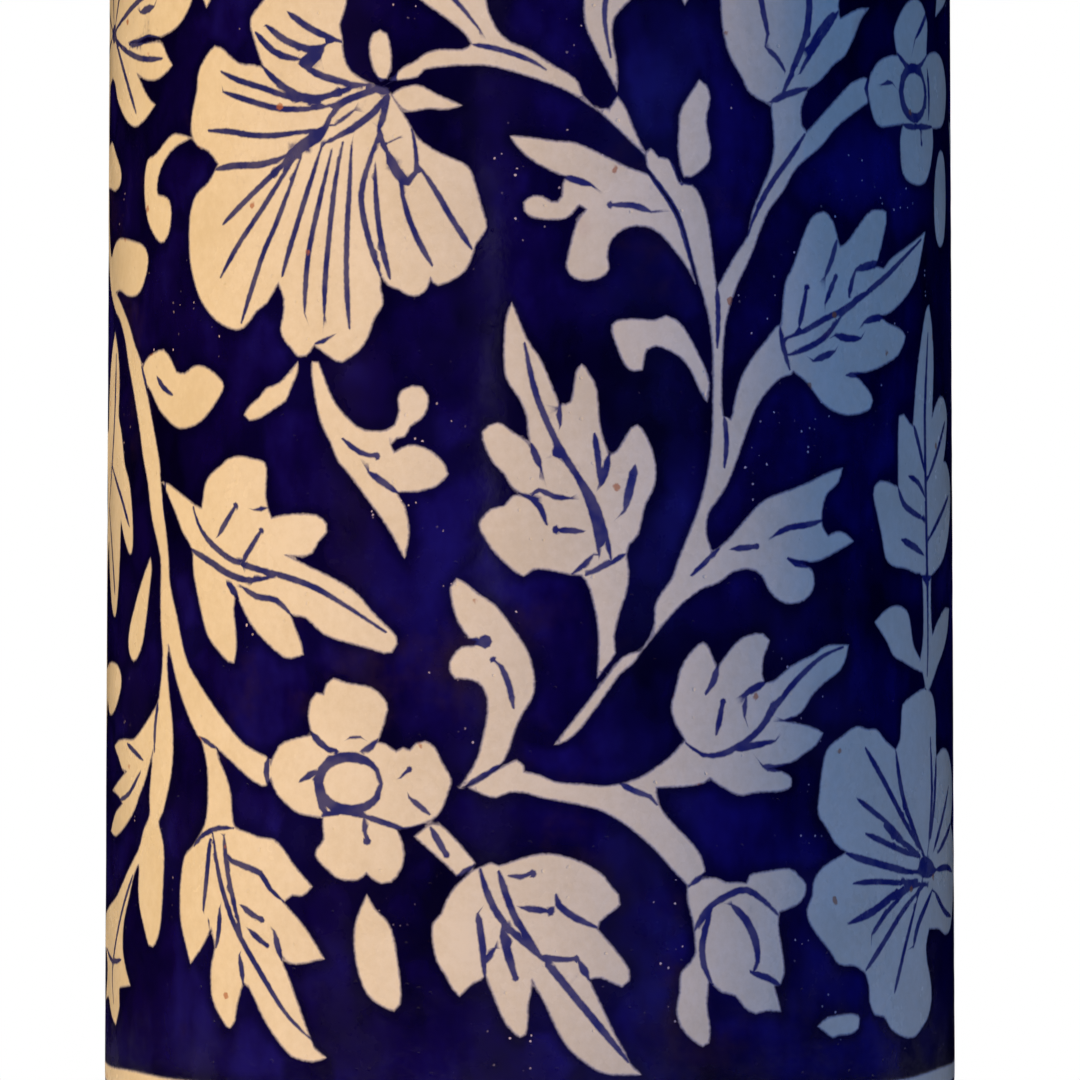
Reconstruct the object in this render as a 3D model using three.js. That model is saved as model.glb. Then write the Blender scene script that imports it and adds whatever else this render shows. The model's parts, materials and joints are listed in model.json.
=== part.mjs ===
// A glazed pottery vase: a tall straight body on a turned foot, with a round shoulder,
// a short neck and a rolled rim. The clay is split where a potter's parts of the pot meet,
// and a thin coat of glaze covers it outside and inside.
// Millimetres, +Z up, origin at the centre of the face that the foot stands on.
import * as THREE from "three";

// overall sizes
const height = 300;
const bodyRadius = 70.2; // glazed, at the foot end of the straight body
const bodyTaper = 0.9; // how much smaller the radius is at the shoulder end

// foot and floor
const footRadius = 50;
const footRingWidth = 7;
const footHeight = 9;
const footEdge = 1.2;
const footOverhang = 1.5; // how far the clay above stands out past the foot ring
const floorThickness = 8;

// heights of the sections above the foot ring
const heelHeight = 28;
const shoulderHeight = 17;
const neckHeight = 38;

// neck and mouth
const neckRadius = 45; // glazed, where the neck is narrowest
const neckWaist = 0.55; // how far up the neck that is
const shoulderRun = 7; // how far outside the waist the shoulder becomes the neck
const shoulderSlope = THREE.MathUtils.degToRad(32);
const mouthRadius = 38.5; // clear opening inside the rim
const rimBead = 4.2; // radius of the clay roll

// wall, glaze and the room between two pieces
const wall = 6;
const glaze = 0.8;
const gap = 0.3;

// facets
const aroundSteps = 48;
const heelSteps = 6;
const bodySteps = 2;
const shoulderSteps = 5;
const neckSteps = 6;
const beadSteps = 12;
const glazeRimSteps = 6;

// worked out from the sizes above
const bow = 0.55; // share of a side that makes a handle give a round corner
const clayHalf = wall / 2;
const glazeInner = clayHalf + gap;
const glazeOuter = glazeInner + glaze;
const beadGlazeInner = rimBead + gap;
const beadGlazeOuter = beadGlazeInner + glaze;
const floorBottom = footHeight + gap;
const floorTop = floorBottom + floorThickness;
const glazeFloor = floorTop + gap;

const clayLook = { color: 0xb9805c, roughness: 0.85, metalness: 0 };
const blueGlazeLook = { color: 0x141452, roughness: 0.15, metalness: 0 };
const creamGlazeLook = { color: 0xe6d6b4, roughness: 0.18, metalness: 0 };

// Places along the middle of the clay wall, as (radius, height).
const beadCentre = new THREE.Vector2(mouthRadius + beadGlazeOuter, height - beadGlazeOuter);
const waistRadius = neckRadius - glazeOuter;
const neckBottom = beadCentre.y - neckHeight;
const shoulderBottom = neckBottom - shoulderHeight;
const heelTop = footHeight + heelHeight;
const bodyBottomRadius = bodyRadius - glazeOuter;
const bodyTopRadius = bodyBottomRadius - bodyTaper;
const heelStart = new THREE.Vector2(footRadius + footOverhang - wall, footHeight - clayHalf);
const heelEnd = new THREE.Vector2(bodyBottomRadius, heelTop);
const bodyEnd = new THREE.Vector2(bodyTopRadius, shoulderBottom);
const shoulderEnd = new THREE.Vector2(waistRadius + shoulderRun, neckBottom);
const waist = new THREE.Vector2(waistRadius, neckBottom + neckHeight * neckWaist);
const inwardUp = new THREE.Vector2(-Math.cos(shoulderSlope), Math.sin(shoulderSlope));

// A curve whose two ends point along the given directions, like a bent strip.
function bend(start, startDirection, end, endDirection) {
  const reach = start.distanceTo(end) * bow * Math.SQRT1_2;
  const startHandle = start.clone().addScaledVector(startDirection, reach);
  const endHandle = end.clone().addScaledVector(endDirection, -reach);
  return new THREE.CubicBezierCurve(start, startHandle, endHandle, end);
}

const up = new THREE.Vector2(0, 1);
const outwardUp = new THREE.Vector2(1, 1).normalize();
const flareUp = new THREE.Vector2(beadCentre.x - waist.x, beadCentre.y - waist.y).normalize();
const heelCurve = bend(heelStart, outwardUp, heelEnd, up);
const bodyCurve = new THREE.LineCurve(heelEnd, bodyEnd);
const shoulderCurve = bend(bodyEnd, up, shoulderEnd, inwardUp);
const neckCurve = new THREE.CurvePath();
neckCurve.add(bend(shoulderEnd, inwardUp, waist, up));
neckCurve.add(bend(waist, up, beadCentre, flareUp));

// Points beside a curve, at a distance to its right (outside) or, below zero, to its left.
// The line starts and ends `pull` short of the curve's ends.
function besideCurve(curve, steps, distance, pull = 0) {
  const short = pull / curve.getLength();
  const points = [];
  for (let i = 0; i <= steps; i += 1) {
    const u = THREE.MathUtils.lerp(short, 1 - short, i / steps);
    const tangent = curve.getTangentAt(u);
    const outward = new THREE.Vector2(tangent.y, -tangent.x);
    points.push(curve.getPointAt(u).clone().addScaledVector(outward, distance));
  }
  return points;
}

// The part of a rising line that is above a height, cut off level there.
function above(points, level) {
  const first = points.findIndex((point) => point.y > level);
  const low = points[first - 1];
  const high = points[first];
  const cut = low.clone().lerp(high, (level - low.y) / (high.y - low.y));
  return [cut, ...points.slice(first)];
}

// The part of a rising line that is outside the rim's bead of the given radius.
function untilBead(points, beadRadius) {
  const last = points.findIndex((point) => point.distanceTo(beadCentre) <= beadRadius);
  const out = points[last - 1];
  const step = points[last].clone().sub(out);
  let near = 0;
  let far = 1;
  for (let i = 0; i < 40; i += 1) {
    const middle = (near + far) / 2;
    const isOutside = out.clone().addScaledVector(step, middle).distanceTo(beadCentre) > beadRadius;
    near = isOutside ? middle : near;
    far = isOutside ? far : middle;
  }
  return [...points.slice(0, last), out.clone().addScaledVector(step, near)];
}

// A point's angle round the bead's centre, from -90 degrees on the outside up to 270 inside.
function beadAngle(point) {
  const arm = point.clone().sub(beadCentre);
  const angle = Math.atan2(arm.y, arm.x);
  return angle < -Math.PI / 2 ? angle + 2 * Math.PI : angle;
}

// Points round the bead's centre, from just after one angle to another.
function roundBead(radius, startAngle, endAngle, steps) {
  const points = [];
  for (let i = 1; i <= steps; i += 1) {
    const angle = THREE.MathUtils.lerp(startAngle, endAngle, i / steps);
    points.push(new THREE.Vector2(Math.cos(angle), Math.sin(angle)).multiplyScalar(radius).add(beadCentre));
  }
  return points;
}

// A solid of revolution about +Z from a profile that runs round its section anticlockwise.
function turned(name, profile, look) {
  const geometry = new THREE.LatheGeometry(profile, aroundSteps);
  geometry.rotateX(Math.PI / 2);
  const mesh = new THREE.Mesh(geometry, new THREE.MeshStandardMaterial(look));
  mesh.name = name;
  return mesh;
}

// A ring of clay wall: out along the outside of its curve and back along the inside.
function wallRing(name, outside, inside) {
  return turned(name, [...outside, ...inside.reverse(), outside[0]], clayLook);
}

function footRing() {
  const inner = footRadius - footRingWidth;
  const profile = [
    new THREE.Vector2(inner + footEdge, 0),
    new THREE.Vector2(footRadius - footEdge, 0),
    new THREE.Vector2(footRadius, footEdge),
    new THREE.Vector2(footRadius, footHeight),
    new THREE.Vector2(inner, footHeight),
    new THREE.Vector2(inner, footEdge),
    new THREE.Vector2(inner + footEdge, 0),
  ];
  return turned("foot_ring", profile, clayLook);
}

// The floor lies inside the lowest part of the heel wall.
function floorSlab() {
  const inside = above(besideCurve(heelCurve, heelSteps, -clayHalf), floorBottom);
  const radius = inside[0].x - gap;
  const profile = [
    new THREE.Vector2(0, floorBottom),
    new THREE.Vector2(radius, floorBottom),
    new THREE.Vector2(radius, floorTop),
    new THREE.Vector2(0, floorTop),
  ];
  return turned("floor_slab", profile, clayLook);
}

function heelWall() {
  const outside = above(besideCurve(heelCurve, heelSteps, clayHalf, gap / 2), floorBottom);
  const inside = above(besideCurve(heelCurve, heelSteps, -clayHalf, gap / 2), floorBottom);
  return wallRing("heel_wall", outside, inside);
}

function bodyCylinder() {
  const outside = besideCurve(bodyCurve, bodySteps, clayHalf, gap / 2);
  const inside = besideCurve(bodyCurve, bodySteps, -clayHalf, gap / 2);
  return wallRing("body_cylinder", outside, inside);
}

function shoulderRing() {
  const outside = besideCurve(shoulderCurve, shoulderSteps, clayHalf, gap / 2);
  const inside = besideCurve(shoulderCurve, shoulderSteps, -clayHalf, gap / 2);
  return wallRing("shoulder_ring", outside, inside);
}

// The neck's top is hollowed to the rim's bead, a gap away from it.
function neckCollar() {
  const clear = rimBead + gap;
  const outside = untilBead(besideCurve(neckCurve, neckSteps, clayHalf, gap / 2), clear);
  const inside = untilBead(besideCurve(neckCurve, neckSteps, -clayHalf, gap / 2), clear);
  const endAngle = beadAngle(inside.at(-1)) - 2 * Math.PI;
  const saddle = roundBead(clear, beadAngle(outside.at(-1)), endAngle, glazeRimSteps).slice(0, -1);
  return wallRing("neck_collar", [...outside, ...saddle], inside);
}

function rimRoll() {
  const circle = roundBead(rimBead, 0, 2 * Math.PI, beadSteps);
  return turned("rim_roll", [circle.at(-1), ...circle], clayLook);
}

// One side of a coat of glaze, from the heel up to the rim: `side` is 1 outside, -1 inside.
function glazeSide(side, distance, beadRadius, endAngle) {
  const wallLine = [
    ...besideCurve(heelCurve, heelSteps, side * distance),
    ...besideCurve(shoulderCurve, shoulderSteps, side * distance),
    ...besideCurve(neckCurve, neckSteps, side * distance).slice(1),
  ];
  const line = untilBead(wallLine, beadRadius);
  return [...line, ...roundBead(beadRadius, beadAngle(line.at(-1)), endAngle, glazeRimSteps)];
}

// The outside coat ends level just above the foot ring, and at the top of the rim.
function outsideGlaze() {
  const endAngle = Math.PI / 2 - gap / beadGlazeInner;
  const outer = above(glazeSide(1, glazeOuter, beadGlazeOuter, endAngle), floorBottom);
  const inner = above(glazeSide(1, glazeInner, beadGlazeInner, endAngle), floorBottom);
  return turned("outside_glaze", [...outer, ...inner.reverse(), outer[0]], blueGlazeLook);
}

// The inside coat covers the floor and the wall up to the top of the rim.
function insideGlaze() {
  const endAngle = Math.PI / 2;
  const outer = above(glazeSide(-1, glazeInner, beadGlazeInner, endAngle), glazeFloor);
  const inner = above(glazeSide(-1, glazeOuter, beadGlazeOuter, endAngle), glazeFloor + glaze);
  const floorUnder = new THREE.Vector2(0, glazeFloor);
  const floorOver = new THREE.Vector2(0, glazeFloor + glaze);
  return turned("inside_glaze", [floorUnder, ...outer, ...inner.reverse(), floorOver], creamGlazeLook);
}

const vase = new THREE.Group();
vase.add(
  footRing(),
  floorSlab(),
  heelWall(),
  bodyCylinder(),
  shoulderRing(),
  neckCollar(),
  rimRoll(),
  outsideGlaze(),
  insideGlaze(),
);

export default vase;
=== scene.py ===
# A tall pottery vase: cobalt glaze outside, with cream flowers and leaves left in reserve,
# a plain cream lining and a bare clay foot.
import json
import math
import bpy
import numpy as np
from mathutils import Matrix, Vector, kdtree
from mathutils.geometry import delaunay_2d_cdt

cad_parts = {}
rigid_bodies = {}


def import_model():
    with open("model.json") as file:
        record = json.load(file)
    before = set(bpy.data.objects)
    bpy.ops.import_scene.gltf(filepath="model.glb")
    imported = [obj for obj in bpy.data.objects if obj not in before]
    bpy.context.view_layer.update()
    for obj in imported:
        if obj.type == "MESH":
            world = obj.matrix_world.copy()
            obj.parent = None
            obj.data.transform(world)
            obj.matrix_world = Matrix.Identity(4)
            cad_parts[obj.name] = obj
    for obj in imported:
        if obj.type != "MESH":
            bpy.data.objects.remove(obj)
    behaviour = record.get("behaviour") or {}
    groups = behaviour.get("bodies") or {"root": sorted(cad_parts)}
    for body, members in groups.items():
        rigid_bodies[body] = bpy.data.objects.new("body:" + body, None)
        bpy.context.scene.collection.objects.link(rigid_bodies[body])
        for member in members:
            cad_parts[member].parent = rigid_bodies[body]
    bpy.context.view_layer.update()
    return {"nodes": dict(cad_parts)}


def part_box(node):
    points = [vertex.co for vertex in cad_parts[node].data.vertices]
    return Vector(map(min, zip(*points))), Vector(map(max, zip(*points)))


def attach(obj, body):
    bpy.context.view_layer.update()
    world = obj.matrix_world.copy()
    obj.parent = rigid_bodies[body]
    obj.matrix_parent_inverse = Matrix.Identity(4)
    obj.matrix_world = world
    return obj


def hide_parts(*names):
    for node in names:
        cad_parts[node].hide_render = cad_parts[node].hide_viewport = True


for leftover in list(bpy.data.objects):
    bpy.data.objects.remove(leftover)
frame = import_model()
mm = 0.001

pot = {
    "wall": 6, "glaze": 0.8, "gap": 0.3,  # millimetres, like the rest
    "heelOverhang": 1.5, "heelHeight": 28,
    "bodyTaper": 0.9,
    "shoulderHeight": 17, "shoulderRun": 7, "shoulderSlope": math.radians(32),
    "neckHeight": 38, "neckWaist": 0.55, "waistRadius": 45,
    "roundness": 0.55,  # share of a side that makes a handle give a round corner
}


def boxOf(node):
    low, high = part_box(node)
    return low / mm, high / mm


def bend(start, startWay, end, endWay, steps=160):  # like a bent strip
    reach = (end - start).length * pot["roundness"] * math.sqrt(0.5)
    a, b, c, d = start, start + startWay * reach, end - endWay * reach, end
    line = []
    for i in range(steps + 1):
        t = i / steps
        u = 1 - t
        place = a * u**3 + b * 3 * u * u * t + c * 3 * u * t * t + d * t**3
        way = (b - a) * u * u + (c - b) * 2 * u * t + (d - c) * t * t
        line.append((place, way.normalized()))
    return line


footLow, footHigh = boxOf("foot_ring")
coatLow, coatHigh = boxOf("outside_glaze")
liningLow, liningHigh = boxOf("inside_glaze")
rollLow, rollHigh = boxOf("rim_roll")
coatOut = pot["wall"] / 2 + pot["gap"] + pot["glaze"]  # from the middle of the wall
coatIn = coatOut - pot["glaze"]
rollRadius = (rollHigh.z - rollLow.z) / 2
rollOut = rollRadius + pot["gap"] + pot["glaze"]
rollCentre = Vector((rollHigh.x - rollRadius, rollHigh.z - rollRadius))
bodyRadius = coatHigh.x
neckBottom = rollCentre.y - pot["neckHeight"]
shoulderBottom = neckBottom - pot["shoulderHeight"]
heelTop = footHigh.z + pot["heelHeight"]


def wallLine():
    up = Vector((0, 1))
    slope = pot["shoulderSlope"]
    inwardUp = Vector((-math.cos(slope), math.sin(slope)))
    heelStart = Vector((footHigh.x + pot["heelOverhang"] - pot["wall"], footHigh.z - pot["wall"] / 2))
    heelEnd = Vector((bodyRadius - coatOut, heelTop))
    bodyEnd = Vector((heelEnd.x - pot["bodyTaper"], shoulderBottom))
    waistX = pot["waistRadius"] - coatOut
    shoulderEnd = Vector((waistX + pot["shoulderRun"], neckBottom))
    waist = Vector((waistX, neckBottom + pot["neckHeight"] * pot["neckWaist"]))
    line = bend(heelStart, Vector((1, 1)).normalized(), heelEnd, up)
    bodyWay = (bodyEnd - heelEnd).normalized()
    line += [(heelEnd.lerp(bodyEnd, i / 100), bodyWay) for i in range(1, 100)]
    line += bend(bodyEnd, up, shoulderEnd, inwardUp)
    line += bend(shoulderEnd, inwardUp, waist, up)[1:]
    line += bend(waist, up, rollCentre, (rollCentre - waist).normalized())[1:]
    return line


def besideWall(distance, level, rollReach, turn):
    # the wall line moved sideways, cut level at its foot and carried round the rim's roll
    beside = [place + Vector((way.y, -way.x)) * distance for place, way in wallLine()]
    beside = [p for p in beside if p.y > level and (p - rollCentre).length > rollReach]
    first = beside[0].lerp(beside[1], (level - beside[0].y) / (beside[1].y - beside[0].y))
    start = beside[-1] - rollCentre
    startTurn = math.atan2(start.y, start.x)
    if turn < 0 and startTurn < 0:
        startTurn += 2 * math.pi
    steps = 48
    arc = [startTurn + (math.pi / 2 - startTurn) * i / steps for i in range(1, steps + 1)]
    beside += [rollCentre + Vector((math.cos(a), math.sin(a))) * rollReach for a in arc]
    return np.array([first] + beside)


class Surface:  # a turned surface, met by arc (around) and run (up along it), in millimetres
    def __init__(self, line):
        steps = np.hypot(*np.diff(line, axis=0).T)
        keep = np.concatenate(([True], steps > 1e-6))
        self.line = line[keep]
        self.run = np.concatenate(([0], np.cumsum(np.hypot(*np.diff(self.line, axis=0).T))))
        self.run += heelTop - np.interp(heelTop, self.line[:, 1], self.run)  # is the height at the heel's top
        slope = np.gradient(self.line, self.run, axis=0)
        self.out = np.stack([slope[:, 1], -slope[:, 0]], 1)
        self.out /= np.linalg.norm(self.out, axis=1)[:, None]

    def section(self, run):
        radius = np.interp(run, self.run, self.line[:, 0])
        height = np.interp(run, self.run, self.line[:, 1])
        outX = np.interp(run, self.run, self.out[:, 0])
        outZ = np.interp(run, self.run, self.out[:, 1])
        return radius, height, outX, outZ

    def at(self, arc, run, inward=0.0):
        turn = np.asarray(arc) / arcRadius
        radius, height, outX, outZ = self.section(run)
        radius = radius - outX * inward
        height = height - outZ * inward
        places = np.stack([radius * np.sin(turn), -radius * np.cos(turn), height], 1)
        ways = np.stack([outX * np.sin(turn), -outX * np.cos(turn), outZ], 1)
        return places * mm, ways


arcRadius = 70  # the painting is laid out on a cylinder of this radius
around = 2 * math.pi * arcRadius
coat = Surface(besideWall(coatOut, coatLow.z, rollOut, 1))
print("pot: wall line and coat worked out, run", round(coat.run[0]), "to", round(coat.run[-1]), "mm")

# The painting: outlines that are left cream. Points are (arc, height) in millimetres, arc 0 at the front;
# a third value marks a sharp corner, and the rest is a smooth closed curve.
reserves = {
    "hibiscus": [
        [(-44.8, 197.4, 0), (-47, 198), (-50, 198.4), (-54, 201), (-55.5, 201.4), (-57.5, 200),
         (-59.5, 197.5), (-60, 194.5), (-61.3, 190.5), (-61.2, 187.8), (-59.8, 186), (-57, 185),
         (-54.6, 182.8, 0), (-57, 180), (-60, 178.2), (-61.6, 175), (-61.8, 170), (-61, 166), (-59, 162),
         (-56, 159), (-53, 157.4), (-50, 156.7), (-48, 157.6), (-46, 159.6), (-44, 160.8),
         (-41.8, 163.8, 0), (-40.7, 161.3), (-40.8, 158.7), (-41.3, 156.6), (-40.5, 154.8),
         (-39.2, 153.6), (-38, 152.3), (-36.5, 152.4), (-35, 154, 0), (-31, 151.5), (-29.3, 151.7),
         (-27, 153.3), (-25.7, 155.2), (-24.6, 158), (-23.2, 160.2), (-23.6, 162.6), (-23.6, 164.6, 0),
         (-22.2, 163), (-20.5, 162.4), (-19, 161.5), (-17.3, 161.5), (-16, 162.6), (-15.5, 164.2, 0),
         (-14.3, 163), (-10.8, 164.5), (-9.3, 166.5), (-8.2, 169.5), (-6.7, 171.8), (-7.5, 175),
         (-8.5, 178.5), (-9.7, 181.2), (-12.5, 182.6), (-15, 183.8), (-17.5, 185.6), (-19.2, 188.3),
         (-22.5, 193.4, 0), (-25.5, 194.3), (-28.6, 196.2), (-29.9, 198.6), (-30.2, 201.5),
         (-30.6, 203.5), (-29.7, 206), (-29.3, 209), (-30.7, 212), (-34, 214), (-38.5, 213.5), (-42, 211),
         (-45, 207.8), (-47.5, 205.2), (-47, 202.5)],
        [(-23.6, 194.6), (-25, 197), (-25.5, 200), (-24.8, 202), (-23.7, 202.4), (-22.6, 201.8),
         (-22, 199.3), (-21.9, 197), (-22.6, 195)],
        [(-21.8, 192.4, 0), (-20.3, 193.3), (-17.5, 193.8), (-14.5, 192.3), (-10.6, 190.6, 0), (-13, 190),
         (-16, 190.2), (-19, 189.8), (-20.8, 191)],
    ],
    "hibiscus stalk and the leaf over it": [
        [(-22, 194.6, 0), (-20, 196.5), (-18, 197.4), (-16.3, 198.6), (-14, 199.2), (-10.5, 199.1),
         (-9, 200, 0), (-11, 202.5), (-19, 208.5), (-22.5, 213), (-24.5, 219), (-24.7, 224, 0),
         (-20, 221), (-15, 216.5), (-11, 212), (-7.5, 208.5), (-6.4, 204.8), (-5, 202), (-3, 200.2),
         (0, 199), (3, 197), (6, 195.3), (7.5, 194), (8.2, 192), (10.2, 190.1, 0), (4.5, 193.4),
         (-5, 196.4), (-10, 196.8), (-14, 196.6), (-16.5, 196.2), (-17.5, 195.2), (-19.5, 194.8)],
    ],
    "spear beside it": [
        [(13.6, 193, 0), (9.7, 200.5), (8.6, 203.5), (8.5, 207), (9.6, 213), (12.5, 219), (16, 224, 0),
         (18.7, 219), (19.3, 214), (18, 210), (15.5, 206.8), (13.2, 204.2), (12.8, 201), (13.5, 197)],
        [(10.4, 190.1, 0), (12.5, 190.1), (13.6, 191.8), (15, 190), (16, 187.5), (18.2, 183, 0)],
    ],
    "main stem": [
        [(18.2, 183.3, 0), (19, 184), (20.2, 182.7), (21.6, 182.5), (22.8, 181.2), (23.5, 178.9),
         (25.6, 178.6), (27, 177), (28.4, 173), (29.9, 162.5, 0), (33, 167.5), (35.5, 171), (36.5, 175),
         (40, 182.5), (40.4, 187), (40, 191.6), (42, 193.5), (47, 194.4), (45.8, 191.4), (45.9, 188.6),
         (46.9, 187.4, 0), (55, 194.2), (58, 196), (61.2, 196.6), (61.6, 193.4), (60, 192.3), (54, 189),
         (50, 185.5), (45, 182), (42, 178), (39, 174.5), (36, 168), (33.6, 163.5), (32, 159.5),
         (31.1, 155), (30.7, 146), (31, 143, 0), (32.4, 142.4), (33, 145), (34.3, 149), (36.5, 152.3),
         (38.8, 154.7), (41.4, 157.2), (44.5, 155), (44.3, 150.3), (41.5, 149), (39, 147), (37, 144.5),
         (35.3, 141), (32.2, 133.5), (30.2, 130.3), (28.4, 128), (28, 125), (28.8, 122.4, 0), (29.5, 119),
         (26.5, 116), (23, 113.2), (17.4, 106.8, 0), (18.7, 108.8), (19.5, 111), (19.6, 113.3),
         (20.2, 115), (22.3, 117.8), (23.3, 120.5), (26.3, 127.5), (27.8, 132), (28.8, 137), (29.2, 142),
         (29.3, 152), (28.8, 157), (27.8, 161), (25.2, 169), (24, 173), (22, 176.5), (20, 179),
         (18.5, 181.2)],
        [(17.2, 106.6, 0), (15.3, 106.2), (13.5, 104.8), (9, 99), (3.8, 92.4, 0), (5.5, 93), (7.8, 95),
         (12.3, 101), (14, 103.3), (16, 104.9)],
    ],
    "bud on the main stem": [
        [(27, 194.8, 0), (24, 190.2), (23.6, 187), (23.5, 184), (23.9, 181.5), (24.4, 179.9),
         (25.7, 179.9), (28.5, 182.2), (28.8, 185), (28.2, 187.5), (28.2, 189.5), (28.8, 192), (28.2, 194)],
    ],
    "curled leaf left of the main stem": [
        [(-3, 185.8, 0), (0, 185.6), (4, 185), (7.5, 184.6), (15, 181.2), (18.2, 180.1), (19.6, 178.9),
         (23.8, 172.5), (26.3, 163.4, 0), (24.5, 166.5), (20.5, 171), (18, 172.1), (15.5, 172),
         (13.5, 170.9), (12.3, 169.2), (12, 167.2), (12.3, 165.5), (11, 164.2), (9, 163.7), (7, 164),
         (5.7, 165.5), (6, 167.8), (7.3, 172.6), (8.8, 174.6, 0), (7.7, 175.3), (5.5, 173.2), (1, 173.2),
         (-0.8, 174.3), (-0.9, 175.6), (0.5, 176.6), (2, 176.5), (3.3, 175.7), (4.3, 175.7), (5, 176.6),
         (5.1, 178.4), (5.6, 179.5, 0), (2, 181.2), (-0.5, 182.8), (-2, 184.3)],
    ],
    "hooked leaf": [
        [(12.8, 156.8), (13.6, 157.5), (16.5, 157.8), (19.5, 157.6), (21.5, 158.3), (23, 157.7),
         (25, 155.5), (28.2, 149.5), (28.5, 147), (28.2, 145.2, 0), (27, 147), (25.5, 150), (23.5, 152.2),
         (19.8, 153.8), (18.3, 153.2), (17.8, 151.5), (17.5, 150), (16.3, 149.8), (14.8, 150.8), (13, 155)],
    ],
    "middle leaf with its stalk": [
        [(-2.8, 160.2, 0), (-0.5, 154.7), (1, 152.5), (2.4, 149.8), (4.6, 144.4, 0), (6.3, 145),
         (6.8, 147.3), (7.2, 149.8), (8, 150.8), (9.2, 149.2), (10.3, 147), (10.9, 141), (12.3, 136.8, 0),
         (13.5, 137.4), (15.8, 141), (16.8, 141.5), (18, 140), (19.2, 137.3), (19.7, 134.3),
         (19.2, 131.5), (18, 129.3), (16.8, 124.7), (15.5, 123.3), (14.9, 121.7, 0), (15.3, 119),
         (15, 116), (13.8, 112.5), (13, 109), (13.2, 106.5), (12.4, 105.2), (10.5, 102.6, 0), (10.6, 110),
         (9.3, 116.3), (8, 118.4, 0), (6.5, 118.5), (2.5, 119.3), (0.5, 119.3), (-1, 118.3), (-3, 119.6),
         (-5.3, 121.8), (-7, 124.3), (-7.8, 126.3), (-6, 128.5), (-4, 129), (-2.5, 130.6),
         (-0.6, 130.4, 0), (-2.8, 132), (-4, 134), (-5.5, 135.5), (-6.8, 138), (-7.3, 140.4), (-5, 141.8),
         (-2.5, 140.2), (-0.8, 139.2), (0.3, 137.6, 0), (-0.2, 140), (-0.5, 142.8), (-1.5, 145.3),
         (-3, 147.5), (-3.9, 150), (-3.8, 157)],
    ],
    "leaf right of the main stem, low": [
        [(24, 114.5), (27, 116.2), (30, 117.2), (32.5, 118.8), (35.5, 119.4), (37.8, 118.4), (39.3, 116),
         (41.3, 114.4), (43.5, 113.9), (46, 114.4), (47.9, 116), (48.2, 118), (47, 119.6), (43, 120.7, 0),
         (46, 120.5), (49.5, 120.7), (57.2, 123.6, 0), (55, 124.9), (53, 125), (51.3, 124.4, 0),
         (50, 126), (50, 128.5), (51, 131), (53.5, 132.8), (54.6, 135.1, 0), (51, 134.2), (47, 132.7),
         (42.5, 131.3), (38.3, 129.9), (35, 127), (31.5, 123.5), (29.2, 122), (26.5, 121), (24, 118)],
    ],
    "tulip": [
        [(40, 191.7), (37.5, 192.3), (35.5, 193.6), (34.5, 195.5), (32.5, 198.5), (31.3, 202),
         (30.8, 206), (31, 210.5), (32.6, 215.5), (34.6, 219.5, 0), (36.8, 216), (38.4, 211.5, 0),
         (40, 217), (43, 222, 0), (46, 217.5), (47.8, 211.5, 0), (50, 216), (53.2, 218.5, 0), (54.6, 213),
         (54, 207.6), (54.4, 205.6, 0), (58.5, 207.3), (61.6, 207.8, 0), (59.5, 205.9), (58, 203.4),
         (55.5, 200), (53, 198.5), (49, 195.2), (43, 192.6)],
    ],
    "far right round flower": [
        [(61.5, 196), (62, 197.2), (64, 199.3), (67, 200.5), (70, 200.9, 0), (69, 204.4), (70.5, 207),
         (73.5, 209.5), (77, 210.4), (80, 209.4), (81.8, 207), (81.6, 204), (81.2, 201.4, 0), (83, 202.1),
         (86, 202.6), (90, 202), (93, 200), (94.5, 197), (93.5, 193.5), (91, 191.2), (87, 190.4),
         (84.4, 190.3, 0), (84.6, 187.4), (83.2, 184), (81, 181.6), (78, 180.7), (74, 181), (71.7, 182.3),
         (71, 185), (71, 188), (72, 190.2, 0), (68, 189.6), (64.7, 189.3), (63, 190.3), (61.8, 193)],
        [(89.5, 187), (87, 185), (85.5, 181), (85.3, 176), (86.5, 172.5), (89, 171.3), (92, 173),
         (93.5, 178), (93.3, 183), (92, 186)],
    ],
    "leaf right of the main stem, high": [
        [(41.8, 157), (42.5, 163.5), (44, 166.3), (47, 172.8), (49, 174.8), (50.5, 175.2), (52.5, 173.8),
         (54.2, 169.8, 0), (56, 170.7), (61, 175.2), (64, 176), (66.3, 175.8), (66.3, 174.3), (64, 168.6),
         (63, 167.2, 0), (65.5, 166.8), (67, 168), (70, 169.4), (80.5, 173.3, 0), (77, 166.5),
         (74.5, 164), (71, 161.7), (67.5, 160), (64.5, 159.2, 0), (66.5, 158.2), (70, 157.5),
         (72.3, 156.3), (71, 154.3), (68.5, 152.6), (62, 150.6), (57.5, 149.9, 0), (61, 147.5),
         (62.3, 145.8), (61.6, 144.6), (58.5, 143.7), (55, 143.5), (51.5, 144.5), (49.3, 146),
         (47.5, 147.8), (45.7, 149.2), (43.5, 150.6), (42, 153.5)],
    ],
    "far right tall leaf with its stalk": [
        [(62.4, 131), (63.3, 132.7), (65.5, 133.1), (69.8, 132.2, 0), (69.8, 139), (70.2, 143.5),
         (71.7, 143.8), (73.5, 142.5), (75, 142, 0), (76.6, 150), (78.6, 156), (80.6, 160.5),
         (82.2, 161.6, 0), (83.6, 158), (84.4, 152), (83.4, 143.4, 0), (85.5, 145.5), (88.5, 147),
         (92, 146.3), (94, 143.6), (92.6, 139.5), (90.6, 136.6, 0), (93.5, 136.2), (97, 133.8),
         (97.6, 130), (95.5, 125.5), (91.5, 121.7), (88, 119.8), (84, 118.5), (82.6, 118), (82.5, 112),
         (83.2, 108.4, 0), (86, 110.5), (91, 112.6), (95.5, 112.6, 0), (93.5, 109), (90, 106),
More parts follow.
